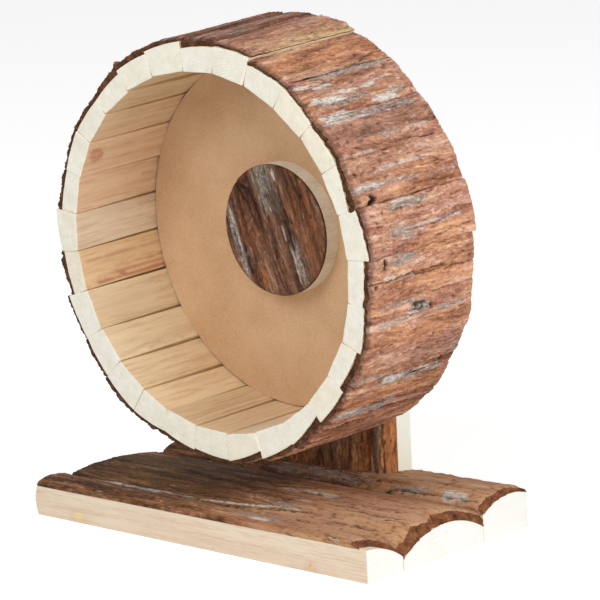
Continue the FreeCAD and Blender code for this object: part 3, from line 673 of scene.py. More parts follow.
# Marks seen on the drum's bark: kind, degrees clockwise from the top, then millimetres:
# start and end behind the front, half width; and strength
DRUM_MARKS = [(kind, degrees * DRUM_MM_PER_DEGREE, *row) for kind, degrees, *row in (
    ("cool", 4.0, -9, 94, 10.0, 0.9), ("white", 3.0, 38, 56, 1.2, 0.5), ("bare", 12.4, -9, 94, 4.5, 0.3),
    ("bare", 15.9, 8, 94, 3.6, 0.45), ("warm", 24.4, -9, 94, 13.0, 1.0), ("bare", 20.0, 6, 50, 1.6, 0.4),
    ("bare", 28.4, -9, 60, 1.4, 0.35), ("cool", 36.0, -9, 94, 10.0, 0.6), ("grey", 31.9, 18, 84, 2.6, 1.0),
    ("crack", 30.9, 40, 82, 0.6, 0.8), ("white", 33.7, 2, 18, 1.6, 0.8), ("white", 35.0, 14, 30, 2.2, 0.9),
    ("white", 39.4, 3, 36, 2.6, 1.0), ("white", 38.0, 28, 62, 1.6, 0.9), ("grey", 40.6, 6, 54, 2.6, 0.8),
    ("white", 37.0, 54, 78, 0.8, 0.6), ("warm", 34.6, 32, 60, 2.4, 0.9), ("warm", 42.0, 28, 52, 2.4, 0.9),
    ("white", 44.6, 3, 30, 3.2, 1.0), ("crack", 44.3, 40, 84, 0.7, 1.0), ("white", 42.8, 48, 72, 2.6, 1.0),
    ("grey", 41.4, 62, 80, 2.6, 0.8), ("cool", 50.6, -9, 94, 13.0, 1.0), ("grey", 46.4, -4, 82, 2.6, 0.8),
    ("white", 47.0, 2, 44, 1.0, 0.6), ("grey", 53.8, 34, 52, 3.0, 0.6), ("white", 53.6, 56, 78, 0.7, 0.6),
    ("white", 57.0, -4, 30, 0.9, 0.5), ("cool", 61.0, -9, 94, 8.0, 0.6), ("white", 62.2, 14, 66, 1.3, 0.5),
    ("white", 66.0, -4, 24, 1.6, 0.8), ("grey", 66.4, -4, 56, 2.2, 0.7), ("warm", 68.8, 14, 90, 4.6, 0.8),
    ("grey", 72.7, 16, 56, 3.0, 1.0), ("white", 71.6, 22, 44, 0.8, 0.8), ("crack", 71.0, 14, 30, 0.8, 0.9),
    ("cool", 79.0, 14, 42, 6.0, 0.9), ("white", 78.6, 18, 33, 4.6, 0.22), ("white", 79.0, 28, 78, 1.3, 0.6),
    ("warm", 83.0, 26, 94, 8.0, 0.8), ("grey", 86.9, 15, 37, 3.4, 0.9), ("cool", 86.9, 12, 40, 4.0, 0.8),
    ("warm", 95.0, -9, 94, 10.0, 0.8), ("white", 91.0, 9, 20, 1.8, 0.8), ("lump", 91.0, 8, 20, 1.8, 0.9),
    ("crack", 91.6, -4, 62, 0.7, 0.9), ("crack", 92.0, 34, 56, 0.9, 0.8), ("crack", 92.8, 58, 90, 0.7, 0.9),
    ("grey", 99.0, 6, 44, 1.5, 0.8), ("grey", 101.4, 30, 50, 3.4, 1.0), ("crack", 100.5, 34, 47, 1.3, 0.9),
    ("crack", 101.7, 33, 44, 0.8, 0.9), ("white", 102.6, 31, 40, 1.4, 0.8),
    ("grey", 103.9, 8, 36, 2.0, 0.8), ("grey", 103.6, 54, 80, 2.2, 0.9), ("lump", 101.6, 30, 54, 5.0, 0.8),
    ("warm", 108.4, -9, 94, 8.0, 0.9), ("cool", 115.4, -9, 94, 9.0, 0.5),
    ("crack", 120.2, 36, 62, 0.5, 0.6), ("grey", 121.0, -6, 34, 2.0, 0.8),
    ("white", 123.7, 26, 48, 2.6, 1.0), ("grey", 124.2, 22, 80, 3.4, 1.0),
    ("white", 123.2, 56, 66, 1.6, 0.8), ("crack", 122.4, 20, 80, 0.7, 0.8),
    ("warm", 129.5, -9, 94, 9.0, 1.0), ("white", 131.0, 36, 54, 0.7, 0.6),
    ("cool", 136.0, -2, 56, 9.0, 0.2), ("grey", 134.6, 0, 52, 5.0, 1.0), ("white", 133.4, 3, 22, 2.0, 0.7),
    ("crack", 141.0, 4, 46, 1.3, 1.0), ("warm", 138.4, 58, 78, 5.0, 1.0), ("grey", 345.0, -9, 94, 7.0, 0.7),
    ("grey", 357.0, -9, 94, 4.0, 0.6), ("warm", 142.0, -9, 94, 8.0, 0.8), ("lump", 326.0, -6, 7, 1.6, 2.2),
)]
# Holes seen in the drum's bark: degrees, millimetres behind the front, half width, half length
DRUM_PITS = [(degrees * DRUM_MM_PER_DEGREE, *row) for degrees, *row in (
    (44.4, 10.0, 0.9, 1.2), (52.9, 11.0, 0.8, 0.8), (62.0, 6.0, 1.1, 1.3), (69.3, 12.0, 3.0, 2.8),
    (70.2, 10.4, 1.6, 3.0), (73.6, 15.6, 0.8, 0.8), (87.2, 12.0, 3.4, 1.8), (92.6, 5.0, 1.2, 1.6),
    (101.2, 38.0, 1.2, 1.8), (101.9, 43.0, 1.1, 1.2), (102.0, 50.0, 2.0, 1.2), (116.4, 12.6, 1.6, 1.2),
    (123.6, 26.6, 1.2, 1.4), (121.6, 72.0, 2.4, 1.2), (141.6, 38.0, 1.6, 2.0),
)]
# How far the bark has broken back from the front of some staves, in millimetres
BARK_BROKEN = {21: 12.0, 28: 2.0, 1: 1.5}
# How much thicker the bark of some staves is, in millimetres
BARK_THICKER = {15: 0.3, 17: 1.6, 18: 1.2}
# The stave whose bark is worn to the wood along one side
WORN_STAVE = 1
# How much lighter or darker the bark of some staves is: partly the bark's own tone and partly painted light
# and shade, lighter on the staves that face the light from the right and darker towards the top
BARK_TONE_AND_PAINTED_LIGHT = {
    1: 0.0, 2: 0.03, 3: -0.03, 4: -0.05, 5: 0.06, 6: 0.08, 7: 0.13, 8: 0.06, 9: -0.05, 10: -0.06, 11: -0.1,
    24: -0.25, 25: -0.25, 26: -0.25, 27: -0.36, 28: -0.34,
}
# Tints of the staves that show inside the drum, from grey through yellow and orange to pink and olive
STAVE_TINT = {
    1: 0.0, 14: 0.9, 15: 0.95, 16: 0.4, 17: 0.35, 18: 0.3, 19: 0.28, 20: 0.5, 21: 0.03, 22: 0.7, 23: 0.72,
    24: 0.85, 25: 0.92, 26: 1.0, 27: 1.0,
}
# Resin stains and brown streaks on the inner faces of some staves: side, start and end behind the front,
# half width in millimetres, strength
STAVE_STAINS = {
    18: ((-7.5, 20, 60, 1.0, 0.4),),
    20: ((-8.5, 0, 66, 1.3, 0.8), (-5.5, 4, 66, 1.0, 0.65), (-2.0, 10, 66, 0.8, 0.4), (4.0, 0, 66, 1.0, 0.4)),
    21: ((6.0, 46, 60, 1.2, 0.3),),
    22: ((3.0, 50, 60, 1.4, 0.35),),
    23: ((2.0, 2, 15, 4.5, 0.6),),
}


class Stave:
    """The section of one stave and of its bark, read from the frame in the stave's own directions."""

    def __init__(self, number):
        self.node = "stave_%02d" % number
        points = node_points(self.node)
        self.length = np.ptp(points[:, 1])
        section = at_end(points, 1, 0) - AXLE
        radius = np.hypot(section[:, 0], section[:, 2])
        is_inner = radius < radius.min() + WOOD_FACE
        inner, outer = section[is_inner], section[~is_inner]
        middle = inner.mean(0)
        self.angle = math.atan2(middle[0], middle[2])
        self.out = np.array([math.sin(self.angle), 0, math.cos(self.angle)])
        self.along = np.array([math.cos(self.angle), 0, -math.sin(self.angle)])
        self.inner_radius = (inner @ self.out).mean()
        self.inner_half = np.abs(inner @ self.along).max()
        self.wood_top = curve_through(outer @ self.along, outer @ self.out)
        self.outer_half = np.abs(outer @ self.along).max()
        cover = at_end(DRUM, 1, 0) - AXLE
        side, height = cover @ self.along, cover @ self.out
        slope = self.inner_half / self.inner_radius + STRIP_EASE
        own = (np.abs(side) < slope * height) & (height > self.wood_top(side) + BARK_FACE)
        self.bark_top = curve_through(side[own], height[own])
        self.bark_half = np.abs(side[own]).max()

    def place(self, side, height, depth):
        """Points at side and height in the stave's directions, and depth behind the drum's front."""
        return AXLE * (1, 0, 1) + np.outer(side, self.along) + np.outer(height, self.out) \
            + np.outer(DRUM_FRONT + depth, (0, 1, 0))


def stave_wood(number, stave, random):
    """A stave's wood: flat inside, with softened sawn edges and a front end slightly off the others."""
    width = 2 * stave.inner_half
    top = float(stave.wood_top(0.0))
    thick = top - stave.inner_radius
    seed = STAVE_SEEDS * number
    (s, t, y), quads, sides = sawn_block((width, thick, stave.length))
    share, rise = s / width, t / thick
    half = stave.inner_half + (stave.outer_half - stave.inner_half) * rise
    side = (2 * share - 1) * half
    outer = stave.wood_top((2 * share - 1) * stave.outer_half)
    height = stave.inner_radius + (outer - stave.inner_radius) * rise
    inside = 1 - smooth(0, 0.4, rise)
    step = random.uniform(*STAVE_STEP, 2)
    height += inside * (step[0] + (step[1] - step[0]) * share + 0.15 * noise(y / 37, side / 9, seed))
    front_share = 0.1 + 0.4 * smooth(0.2, 0.8, math.cos(stave.angle))
    opening = front_share + (1 - front_share) * smooth(0, 55, y)
    gap = inside * JOINT_OPENING * random.uniform(*JOINT_SHARE) * opening
    side = side - np.sign(side) * gap * smooth(0.7, 1.0, np.abs(2 * share - 1))
    setback = random.uniform(*END_SETBACK) + 0.25 * noise(side / 7, height / 7, seed + 1)
    depth = y + setback * (1 - smooth(0, 20, y))
    points = stave.place(side, height, depth)
    pith_side = random.uniform(*PITH_ASIDE) * random.choice((-1, 1))
    pith_height = top - random.uniform(*PITH_BELOW)
    pith = stave.place([pith_side], [pith_height], [0.0])[0]
    stain = 0.0 * y
    for n, (across, start, end, half_width, strength) in enumerate(STAVE_STAINS.get(number, ())):
        mark = strength * inside * streak(y, side, across, start, end, half_width, number + 3 * n)
        stain = np.maximum(stain, mark)
    tint = np.full(len(points), STAVE_TINT.get(number, random.uniform(0, 1)))
    near_end = (depth[quads].mean(1) - setback[quads].mean(1)) < 2 * WOOD_ROUNDING
    ends = (np.isin(sides, (4, 5)) | near_end).astype(int)
    make_piece("wood_" + stave.node, points, quads, ends, (STAVE_SIDE, STAVE_END),
               wood_attributes(pith, tint, stain), WHEEL, [stave.node])


def stave_bark(number, stave, random):
    """The strip of bark on a stave, with its relief, worn side edges and ragged front edge."""
    (s, rise, y), quads, sides = bark_block(2 * stave.bark_half, stave.length)
    side = s - stave.bark_half
    angle = np.degrees(stave.angle) % 360
    v = angle * DRUM_MM_PER_DEGREE + side
    near = [row for row in DRUM_MARKS if abs(row[1] - v.mean()) < 3 * stave.bark_half]
    holes = [row for row in DRUM_PITS if abs(row[0] - v.mean()) < 2 * stave.bark_half]
    seed = STRIP_SEEDS * number
    greyness = random.uniform(*STRIP_GREYNESS)
    # The stave's tone shift: partly painted light and shade, partly the bark's own tone
    shade = BARK_TONE_AND_PAINTED_LIGHT.get(number, 0.0)
    lift, masks = bark(y, v, seed, near, holes, greyness=greyness, shade=shade, warmth=0.4)
    lumps = 0.9 * noise(side / 5, y / 9, seed + 57) + 0.3 * noise(side / 1.9, y / 3, seed + 58)
    base = stave.wood_top(np.clip(side, -stave.outer_half, stave.outer_half)) + BARK_GAP
    lively = np.clip((stave.bark_top(side) - base) / 3.5, 0.3, 1.0)
    lift += lively * lumps * (1 - smooth(2, 14, y))
    thick = stave.bark_top(side) - base + lift + BARK_THICKER.get(number, 0.0)
    from_edge = stave.bark_half - np.abs(side)
    worn = smooth(0, 1.0 + 0.5 * line_noise(y / 11, seed + 50), from_edge)
    thick *= 0.78 + 0.22 * worn
    off_line = 0 * y + OFF_LINE
    ragged = 1.0 + 1.3 * noise(side / 4.2, off_line, seed + 51) + 0.8 * noise(side / 1.7, off_line, seed + 52)
    broken = BARK_BROKEN.get(number, 0.0) * (0.6 + 0.5 * line_noise(side / 6, seed + 53))
    start = lively * np.maximum(ragged, 0.1) + np.maximum(broken, 0.0)
    crumble = smooth(0, 4.5, y - 1.6 * noise(side / 2.2, y / 1.8, seed + 54))
    thick *= 0.66 + 0.34 * crumble
    masks["crack"] = np.maximum(masks["crack"], 0.6 * (1 - smooth(0.2, 0.9, crumble)))
    if number == WORN_STAVE:
        bared = (1 - smooth(0, 2 + y / 22, stave.bark_half - side)) * smooth(6, 26, y)
        thick *= 1 - 0.9 * bared
        masks["bare"] = np.maximum(masks["bare"], bared)
    thick = np.maximum(thick, STRIP_THINNEST)
    height = base + rise * thick
    end = stave.length - np.maximum(0.4 + 0.5 * line_noise(side / 2.5, seed + 55), 0)
    depth = start + (end - start) * (y / stave.length)
    at_front = (y == 0)
    depth = depth + at_front * (0.5 * noise(side / 1.3, height / 1.1, seed + 56) + 0.6 * (1 - rise))
    edge = np.sign(side)
    wander = SEAM_LAP + SEAM_WANDER * rough(y / 11, edge * 7.3, seed + 60)
    side = side + edge * wander * smooth(stave.bark_half - 4, stave.bark_half, np.abs(side))
    points = stave.place(side, height, depth)
    cut = np.where(sides == 3, 0, 1)
    make_piece("bark_" + stave.node, points, quads, cut, (DRUM_BARK, DRUM_CUT), masks,
               WHEEL, ["stave_bark"])


def build_drum():
    """All staves with their bark."""
    random = np.random.default_rng(DRUM_SEED)
    for number in range(1, STAVE_COUNT + 1):
        stave = Stave(number)
        stave_wood(number, stave, random)
        stave_bark(number, stave, random)


# Base

# Seeds of the first plank's wood and bark, and how much they rise from plank to plank
PLANK_SEED, PLANK_SEED_STEP = 40000, 100
BASE_BARK_SEED, BASE_BARK_SEED_STEP = 41000, 1000
# Marks on the base's bark: kind, Y, start and end along X, half width, strength and, for some, a slant
BASE_MARKS = (
    ("white", -36.6, -106, -24, 0.65, 0.6, 0.03), ("cool", -6.0, -130, 4, 44.0, 0.8),
    ("white", -32.4, -34, 46, 0.8, 0.9, 0.12), ("crack", -33.8, -34, 50, 0.8, 1.0, 0.12),
    ("grey", -26.0, 20, 46, 2.6, 0.8), ("white", -19.0, 34, 46, 2.0, 0.6),
    ("white", -7.0, 14, 28, 2.2, 0.45), ("white", -5.0, 27, 60, 2.8, 0.6), ("bare", -1.0, 34, 52, 4.0, 0.5),
    ("crack", -19.5, 70, 112, 0.8, 1.0), ("crack", -31.0, 70, 102, 0.7, 0.9),
    ("crack", -4.0, 86, 118, 0.5, 0.7), ("warm", 12.0, 20, 118, 12.0, 0.8),
    ("warm", -24.0, -50, -4, 5.0, 0.9), ("grey", 36.0, -44, 46, 4.0, 0.7), ("grey", 34.0, 56, 84, 2.6, 0.8),
    ("white", 33.0, 90, 112, 3.4, 1.0), ("crack", 31.8, 58, 118, 0.8, 1.0),
    ("white", 46.0, 98, 116, 1.4, 0.5), ("grey", -54.0, 22, 60, 5.0, 0.8),
    ("white", -57.0, 36, 50, 2.4, 0.8), ("crack", -59.5, -70, 24, 0.6, 0.8),
    ("warm", -61.5, -118, 118, 3.5, 0.9), ("white", -62.5, 102, 112, 1.6, 0.9),
    ("crack", -61.0, 98, 116, 0.9, 0.9),
)
BASE_PITS = ((-7.0, 42.0, 1.6, 3.4), (-62.0, 107.0, 1.2, 2.0))
# How far the bark slopes back at the right end of each plank, in millimetres
BROKEN_BACK = {"front": 5.5, "middle": 5.0, "rear": 3.0}
# How far the front plank's bark is torn back at its right end
TORN_BACK = 6.0
# Knots in the front face of the base: X, Z and half sizes in millimetres, and how dark the heart is
FRONT_KNOTS = ((-89.5, 3.6, 5.2, 3.4, 0.0), (80.5, 3.4, 3.6, 2.0, 0.6))
# How far the front plank's left end swells at mid-height
END_SWELL = 1.8
# How far the pith lies below the top of a plank, and how thin a plank's bark gets, in millimetres
PLANK_PITH_BELOW = 62.0
BASE_BARK_THINNEST = 0.5
# How far the base is cut in about the post's foot, and the wood and bark lie under it, in millimetres
SEAT_INSET = 1.2
SEAT_WOOD_BELOW = 0.1
SEAT_BARK_BELOW = 0.05
SEAT_BARK_THICK = 0.03


def end_profiles(node, sides, floors):
    """The rounded top's height by share of the width at both ends, from the points above each floor."""
    points = node_points(node)
    profiles = []
    for end, floor in enumerate(floors):
        section = at_end(points, 0, end)
        front, rear = sides[end]
        across = (section[:, 1] - front) / (rear - front)
        top = section[:, 2] > floor(across) + WOOD_FACE
        profiles.append(curve_through(across[top], section[top, 2]))
    return profiles


class Plank:
    """A base plank's slanting sides and the heights of its wood and its bark."""

    def __init__(self, name):
        self.wood_node = "base_plank_" + name
        self.bark_node = "base_bark_" + name
        points = node_points(self.wood_node)
        self.low, self.high = points.min(0), points.max(0)
        edges = [at_end(points, 0, end)[:, 1] for end in (0, 1)]
        self.sides = [(edge.min(), edge.max()) for edge in edges]
        self.wood_ends = end_profiles(self.wood_node, self.sides, (np.zeros_like, np.zeros_like))
        self.bark_ends = end_profiles(self.bark_node, self.sides, self.wood_ends)

    def along(self, x):
        """The share of the length at x."""
        return (x - self.low[0]) / (self.high[0] - self.low[0])

    def place(self, x, across):
        """The Y at x and at a share of the width."""
        (left_front, left_rear), (right_front, right_rear) = self.sides
        front = left_front + (right_front - left_front) * self.along(x)
        rear = left_rear + (right_rear - left_rear) * self.along(x)
        return front + (rear - front) * across

    def height(self, ends, x, across):
        """The height at x and at a share of the width, between the profiles of both ends."""
        share = self.along(x)
        return ends[0](across) * (1 - share) + ends[1](across) * share


POST_NODES = ["post_board_" + name for name in BOARDS] + ["post_bark_" + name for name in BOARDS]
POST_POINTS = np.concatenate([node_points(name) for name in POST_NODES])
POST_LOW, POST_HIGH = POST_POINTS.min(0), POST_POINTS.max(0)


def under_post(x, y):
    """True inside the post's foot, where the base is cut away for it."""
    inside_x = (x > POST_LOW[0] + SEAT_INSET) & (x < POST_HIGH[0] - SEAT_INSET)
    inside_y = (y > POST_LOW[1] + 5 * SEAT_INSET) & (y < POST_HIGH[1] - SEAT_INSET)
    return inside_x & inside_y


def plank_wood(name, plank, seed):
    """A base plank's wood, with softened sawn edges and, in front, knots and a swollen left end."""
    is_front = name == PLANKS[0]
    size = plank.high - plank.low
    thick = float(plank.height(plank.wood_ends, 0.0, 0.5))
    (x, y, z), quads, sides = sawn_block((size[0], size[1], thick))
    x, across = x + plank.low[0], y / size[1]
    y = plank.place(x, across)
    top = plank.height(plank.wood_ends, x, across)
    top = np.where(under_post(x, y), POST_LOW[2] - SEAT_WOOD_BELOW, top)
    rise = z / thick
    z = rise * top
    bow = 0.35 * noise(x / 50, z / 30, seed) * smooth(0, 0.2, rise)
    if is_front:
        x = x - END_SWELL * (1 - (2 * rise - 1) ** 2) * (1 - smooth(0, 14, x - plank.low[0]))
    points = np.stack([x, y + bow * (y < plank.low[1] + 3), z], 1)
    pith = np.array([0.0, (plank.low[1] + plank.high[1]) / 2, thick - PLANK_PITH_BELOW])
    stain, pale = 0.0 * x, 0.0 * x
    for knot_x, knot_z, half_x, half_z, dark in FRONT_KNOTS if is_front else ():
        away = np.hypot((x - knot_x) / half_x, (z - knot_z) / half_z)
        ring = 0.12 * np.exp(-(((away - 1.1) / 0.35) ** 2)) + dark * (1 - smooth(0.1, 0.6, away))
        stain = np.maximum(stain, ring)
        pale = np.maximum(pale, 1 - smooth(0.5, 1.1, away))
    ends = np.where(sides <= 1, 1, 0)
    make_piece("wood_" + plank.wood_node, points, quads, ends, (PLANK_WOOD, PLANK_END),
               wood_attributes(pith, pale, stain), STAND, [plank.wood_node])


def plank_bark(name, plank, seed):
    """A base plank's bark, with its relief and ragged ends."""
    is_front, is_rear = name == PLANKS[0], name == PLANKS[2]
    size = plank.high - plank.low
    axes = [even(size[0], BASE_PITCH), even(size[1], BASE_PITCH), np.linspace(0, 1, BASE_LAYERS)]
    (x, y, rise), quads, sides = block(axes)
    x, across = x + plank.low[0], y / size[1]
    y = plank.place(x, across)
    rear_edge = plank.place(x, 1)
    marks = [row for row in BASE_MARKS if plank.low[1] - 6 < row[1] < plank.high[1] + 6]
    holes = [row for row in BASE_PITS if plank.low[1] < row[0] < plank.high[1]]
    # Painted shade and light: the base's bark is darker towards the left, where the drum's shadow falls, and
    # lighter towards the right, where the light comes from; this shifts the bark's tone
    lighter = 0.78 * smooth(-60, 90, x) - 0.2
    lift, masks = bark(
        x, y, seed, marks, holes, relief=0.9, fine=0.5, greyness=-0.15, shade=lighter, warmth=0.6)
    if is_rear:
        lift += 1.2 * noise(x / 5, y / 4, seed + 56) * (1 - smooth(0, 7, rear_edge - y))
    base = plank.height(plank.wood_ends, x, across) + BARK_GAP
    thick = plank.height(plank.bark_ends, x, across) - base + lift
    from_side = np.minimum(y - plank.place(x, 0), rear_edge - y)
    worn = smooth(0, 1.8 + 0.8 * line_noise(x / 9, seed + 50), from_side)
    broken = np.exp((x - plank.high[0]) / 2.5)
    thick = np.maximum(thick * (0.7 + 0.3 * worn) * (1 - 0.3 * broken), BASE_BARK_THINNEST)
    seat = under_post(x, y)
    base = np.where(seat, POST_LOW[2] - SEAT_BARK_BELOW, base)
    thick = np.where(seat, SEAT_BARK_THICK, thick)
    slope = 1 + 0.6 * line_noise(y / 9, seed + 51) + 0.25 * line_noise(y / 2.5, seed + 52)
    slope *= BROKEN_BACK[name]
    if not is_front:
        slope *= smooth(0, 16, rear_edge - y)
    ragged = 0.3 + rise * np.maximum(slope, 0.3)
    ragged += 1.1 * noise(y / 4.5, rise * 2.5, seed + 53) + 0.6 * noise(y / 1.5, rise * 5, seed + 54)
    x = x - ragged * smooth(0, 20, x)
    if is_front:
        torn = TORN_BACK * (1 + 0.4 * line_noise(y / 4, seed + 55)) * (1 - smooth(0.5, 1.0, across))
        x = x - torn * smooth(60, 118, x)
    points = np.stack([x, y, base + rise * thick], 1)
    cut = np.where(sides <= 1, 1, 0)
    make_piece("bark_" + plank.bark_node, points, quads, cut, (BASE_BARK, BASE_CUT), masks,
               STAND, [plank.bark_node])


def build_base():
    """The planks of the base with their bark."""
    for number, name in enumerate(PLANKS):
        plank = Plank(name)
        plank_wood(name, plank, PLANK_SEED + PLANK_SEED_STEP * number)
        plank_bark(name, plank, BASE_BARK_SEED + BASE_BARK_SEED_STEP * number)


# Post

# Seed of the first board's bark, and how much it rises from board to board
POST_BARK_SEED, POST_BARK_SEED_STEP = 51000, 1000
# Marks on the post's bark: kind, X, start and end along Z, half width, strength
POST_MARKS = (
    ("white", 28.6, 18, 32, 1.6, 1.0), ("grey", 34.0, 24, 60, 3.4, 0.4), ("cool", 33.0, -10, 220, 5.5, 1.0),
    ("crack", 29.0, 36, 186, 0.8, 0.8), ("warm", 41.6, -10, 220, 4.4, 1.0),
    ("crack", 37.4, 12, 186, 0.5, 0.6), ("cool", 6.0, -10, 220, 22.0, 0.7),
    ("lump", 33.0, 12, 72, 3.0, 1.0),
)
# How far behind the front of a board its pith lies, the most that its bark stands proud and the least
# that it is thick, in millimetres
BOARD_PITH_BEHIND = 55.0
POST_BARK_LIFT = 1.2
POST_BARK_THINNEST = 0.5


class Board:
    """A post board's outline and the depths of its wood's and its bark's rounded front."""

    def __init__(self, name):
        self.wood_node = "post_board_" + name
        self.bark_node = "post_bark_" + name
        points = node_points(self.wood_node)
        self.low, self.high = points.min(0), points.max(0)
        self.middle = (self.low[0] + self.high[0]) / 2
        top = at_end(points, 2, 1)
        front = top[top[:, 1] < self.high[1] - WOOD_FACE]
        self.wood_front = curve_through(front[:, 0], front[:, 1])
        cover = at_end(node_points(self.bark_node), 2, 1)
        front = cover[cover[:, 1] < self.wood_front(cover[:, 0]) - BARK_FACE]
        self.bark_front = curve_through(front[:, 0], front[:, 1])


def board_wood(board):
    """A post board's wood, with softened sawn edges."""
    size = board.high - board.low
    thick = board.high[1] - float(board.wood_front(board.middle))
    (x, y, z), quads, sides = sawn_block((size[0], thick, size[2]))
    x, z = x + board.low[0], z + board.low[2]
    y = board.high[1] - y / thick * (board.high[1] - board.wood_front(x))
    points = np.stack([x, y, z], 1)
    pith = np.array([board.middle, board.high[1] - thick + BOARD_PITH_BEHIND, 0.0])
    # Sides, top and front take the near-white wood with painted light; the back takes the wood's own colour
    rear = np.where(sides == 2, 1, 0)
    make_piece("wood_" + board.wood_node, points, quads, rear, (PAINTED_LIGHT_BOARD_WOOD, BOARD_BACK),
               wood_attributes(pith, 0.0 * x, 0.0 * x), STAND, [board.wood_node])


def board_bark(board, seed):
    """A post board's bark, with its relief and ragged top."""
    size = board.high - board.low
    (x, rise, z), quads, sides = bark_block(size[0], size[2])
    share = z / size[2]
    x, z = x + board.low[0], z + board.low[2]
    marks = [row for row in POST_MARKS if board.low[0] - 4 < row[1] < board.high[0] + 4]
    lift, masks = bark(z, x, seed, marks, relief=0.9, greyness=-0.3)
    base = board.wood_front(x) - BARK_GAP
    thick = base - board.bark_front(x) + np.minimum(lift, POST_BARK_LIFT)
    from_side = np.minimum(x - board.low[0], board.high[0] - x)
    worn = smooth(0, 1.6 + 0.6 * line_noise(z / 9, seed + 50), from_side)
    thick = np.maximum(thick * (0.6 + 0.4 * worn), POST_BARK_THINNEST)
    ragged = np.maximum(1.0 + 1.2 * line_noise(x / 4, seed + 51), 0)
    points = np.stack([x, base - rise * thick, z - ragged * share], 1)
    cut = np.where(sides == 3, 0, 1)
    make_piece("bark_" + board.bark_node, points, quads, cut, (POST_BARK, POST_CUT), masks,
               STAND, [board.bark_node])


def build_post():
    """The boards of the post with their bark."""
    for number, name in enumerate(BOARDS):
        board = Board(name)
        board_wood(board)
        board_bark(board, POST_BARK_SEED + POST_BARK_SEED_STEP * number)


# Hub

HUB_SEED = 60000
# Marks on the hub's bark, in its own directions: kind, across and along the grain from the middle,
# half width, strength and, for some, a slant; along runs down the grain
HUB_MARKS = (
    ("cool", 4.0, -46, -8, 9.5, 1.0), ("grey", 4.0, -46, -22, 8.0, 0.7), ("grey", 0.0, -26, -10, 3.0, 0.8),
    ("white", 12.4, -34, -27, 1.0, 1.0), ("crack", -13.5, -36, -26, 2.0, 1.0, 1.2),
    ("crack", -7.6, -28, -9, 1.6, 1.0, 0.18), ("crack", -14.9, -35, -20, 1.4, 0.9, 0.47),
    ("crack", -11.0, -21, -4, 1.3, 0.9, 0.08), ("warm", -19.0, -22, 10, 6.0, 0.45),
    ("crack", -1.6, -22, -10, 0.8, 0.8), ("white", -26.4, -24, 6, 1.5, 0.6),
    ("grey", -27.6, -26, 22, 2.8, 0.9), ("crack", -28.2, -10, 6, 0.8, 0.9),
    ("crack", -24.4, 0, 18, 1.8, 1.0), ("crack", 12.2, -24, -2, 1.2, 0.9),
    ("crack", 10.6, -6, 13, 2.2, 1.0), ("white", 7.4, -4, 6, 0.6, 0.8), ("white", 8.8, 7, 31, 1.3, 0.7),
    ("grey", 12.2, 2, 33, 3.2, 0.8), ("warm", 29.6, -18, 10, 3.2, 1.0), ("warm", 22.0, -30, 24, 8.0, 0.4),
    ("warm", -17.0, 14, 27, 4.4, 1.0), ("lump", -18.0, -26, 12, 6.0, 0.6),
    ("crack", -4.6, 20, 40, 0.5, 0.9),
)
HUB_RINGS = 66
HUB_STEPS = 420
# The width of the hub bark's worn rim, how far it falls back and the least thickness, in millimetres
HUB_RIM = 1.2
HUB_RIM_FALL = 0.5
HUB_THINNEST = 0.5


def build_hub():
    """The hub cover's bark face, as rings of points about its middle."""
    points = node_points("hub_cover_bark")
    front, rear = points[:, 1].min(), points[:, 1].max()
    centre = (points.min(0) + points.max(0)) / 2 - AXLE
    radius = np.ptp(points[:, 0]) / 2
    turn = np.arange(HUB_STEPS) * 2 * math.pi / HUB_STEPS
    rings = radius * np.linspace(0.0, 1.0, HUB_RINGS + 1)[1:]
    r, a = (grid.ravel() for grid in np.meshgrid(rings, turn, indexing="ij"))
    r, a = np.append(r, 0.0), np.append(a, 0.0)
    x, z = centre[0] + r * np.sin(a), centre[2] + r * np.cos(a)
    across = x * math.cos(HUB_TILT) + z * math.sin(HUB_TILT)
    along = x * math.sin(HUB_TILT) - z * math.cos(HUB_TILT)
    lift, masks = bark(along, across, HUB_SEED, HUB_MARKS, relief=0.8, fine=0.8, greyness=-0.4, warmth=0.3)
    edge = 1 - smooth(0, HUB_RIM, radius - r)
    y = front - lift * (1 - 0.6 * edge) + HUB_RIM_FALL * edge
    face = np.stack([AXLE[0] + x, np.minimum(y, rear - HUB_THINNEST), AXLE[2] + z], 1)
    back = np.stack([face[:, 0], np.full_like(r, rear - BARK_GAP), face[:, 2]], 1)
    count = len(r)
    ids = np.arange(HUB_RINGS * HUB_STEPS).reshape(HUB_RINGS, HUB_STEPS)
    after = np.roll(ids, -1, 1)
    quads = np.stack([ids[:-1], ids[1:], after[1:], after[:-1]], -1).reshape(-1, 4)
    rim = np.stack([ids[-1], ids[-1] + count, after[-1] + count, after[-1]], -1)
    pair = ids[0].reshape(-1, 2)
    core = np.stack([np.full(len(pair), count - 1), pair[:, 0], pair[:, 1], np.roll(pair[:, 0], -1)], -1)
    one_side = np.concatenate([quads, core])
    faces = np.concatenate([one_side, one_side[:, ::-1] + count, rim])
    cut = np.concatenate([np.zeros(len(one_side)), np.ones(len(one_side) + len(rim))])
    both = {name: np.tile(values, 2) for name, values in masks.items()}
    make_piece("bark_hub_cover", np.concatenate([face, back]), faces, cut, (HUB_BARK, HUB_CUT), both,
               WHEEL, ["hub_cover_bark"])


# Frame nodes that stay

NODE_MATERIALS = {"back_disc": FIBREBOARD, "hub_cover": PAINTED_LIGHT_HUB_WOOD, "hub_block": PAINTED_LIGHT_HUB_WOOD}


def finish_nodes():
    """Gives every frame node that still shows its material."""
    for name, node in frame["nodes"].items():
        if node.hide_render:
            continue
        node.data.materials.clear()
        node.data.materials.append(NODE_MATERIALS.get(name, STEEL))


# Stage

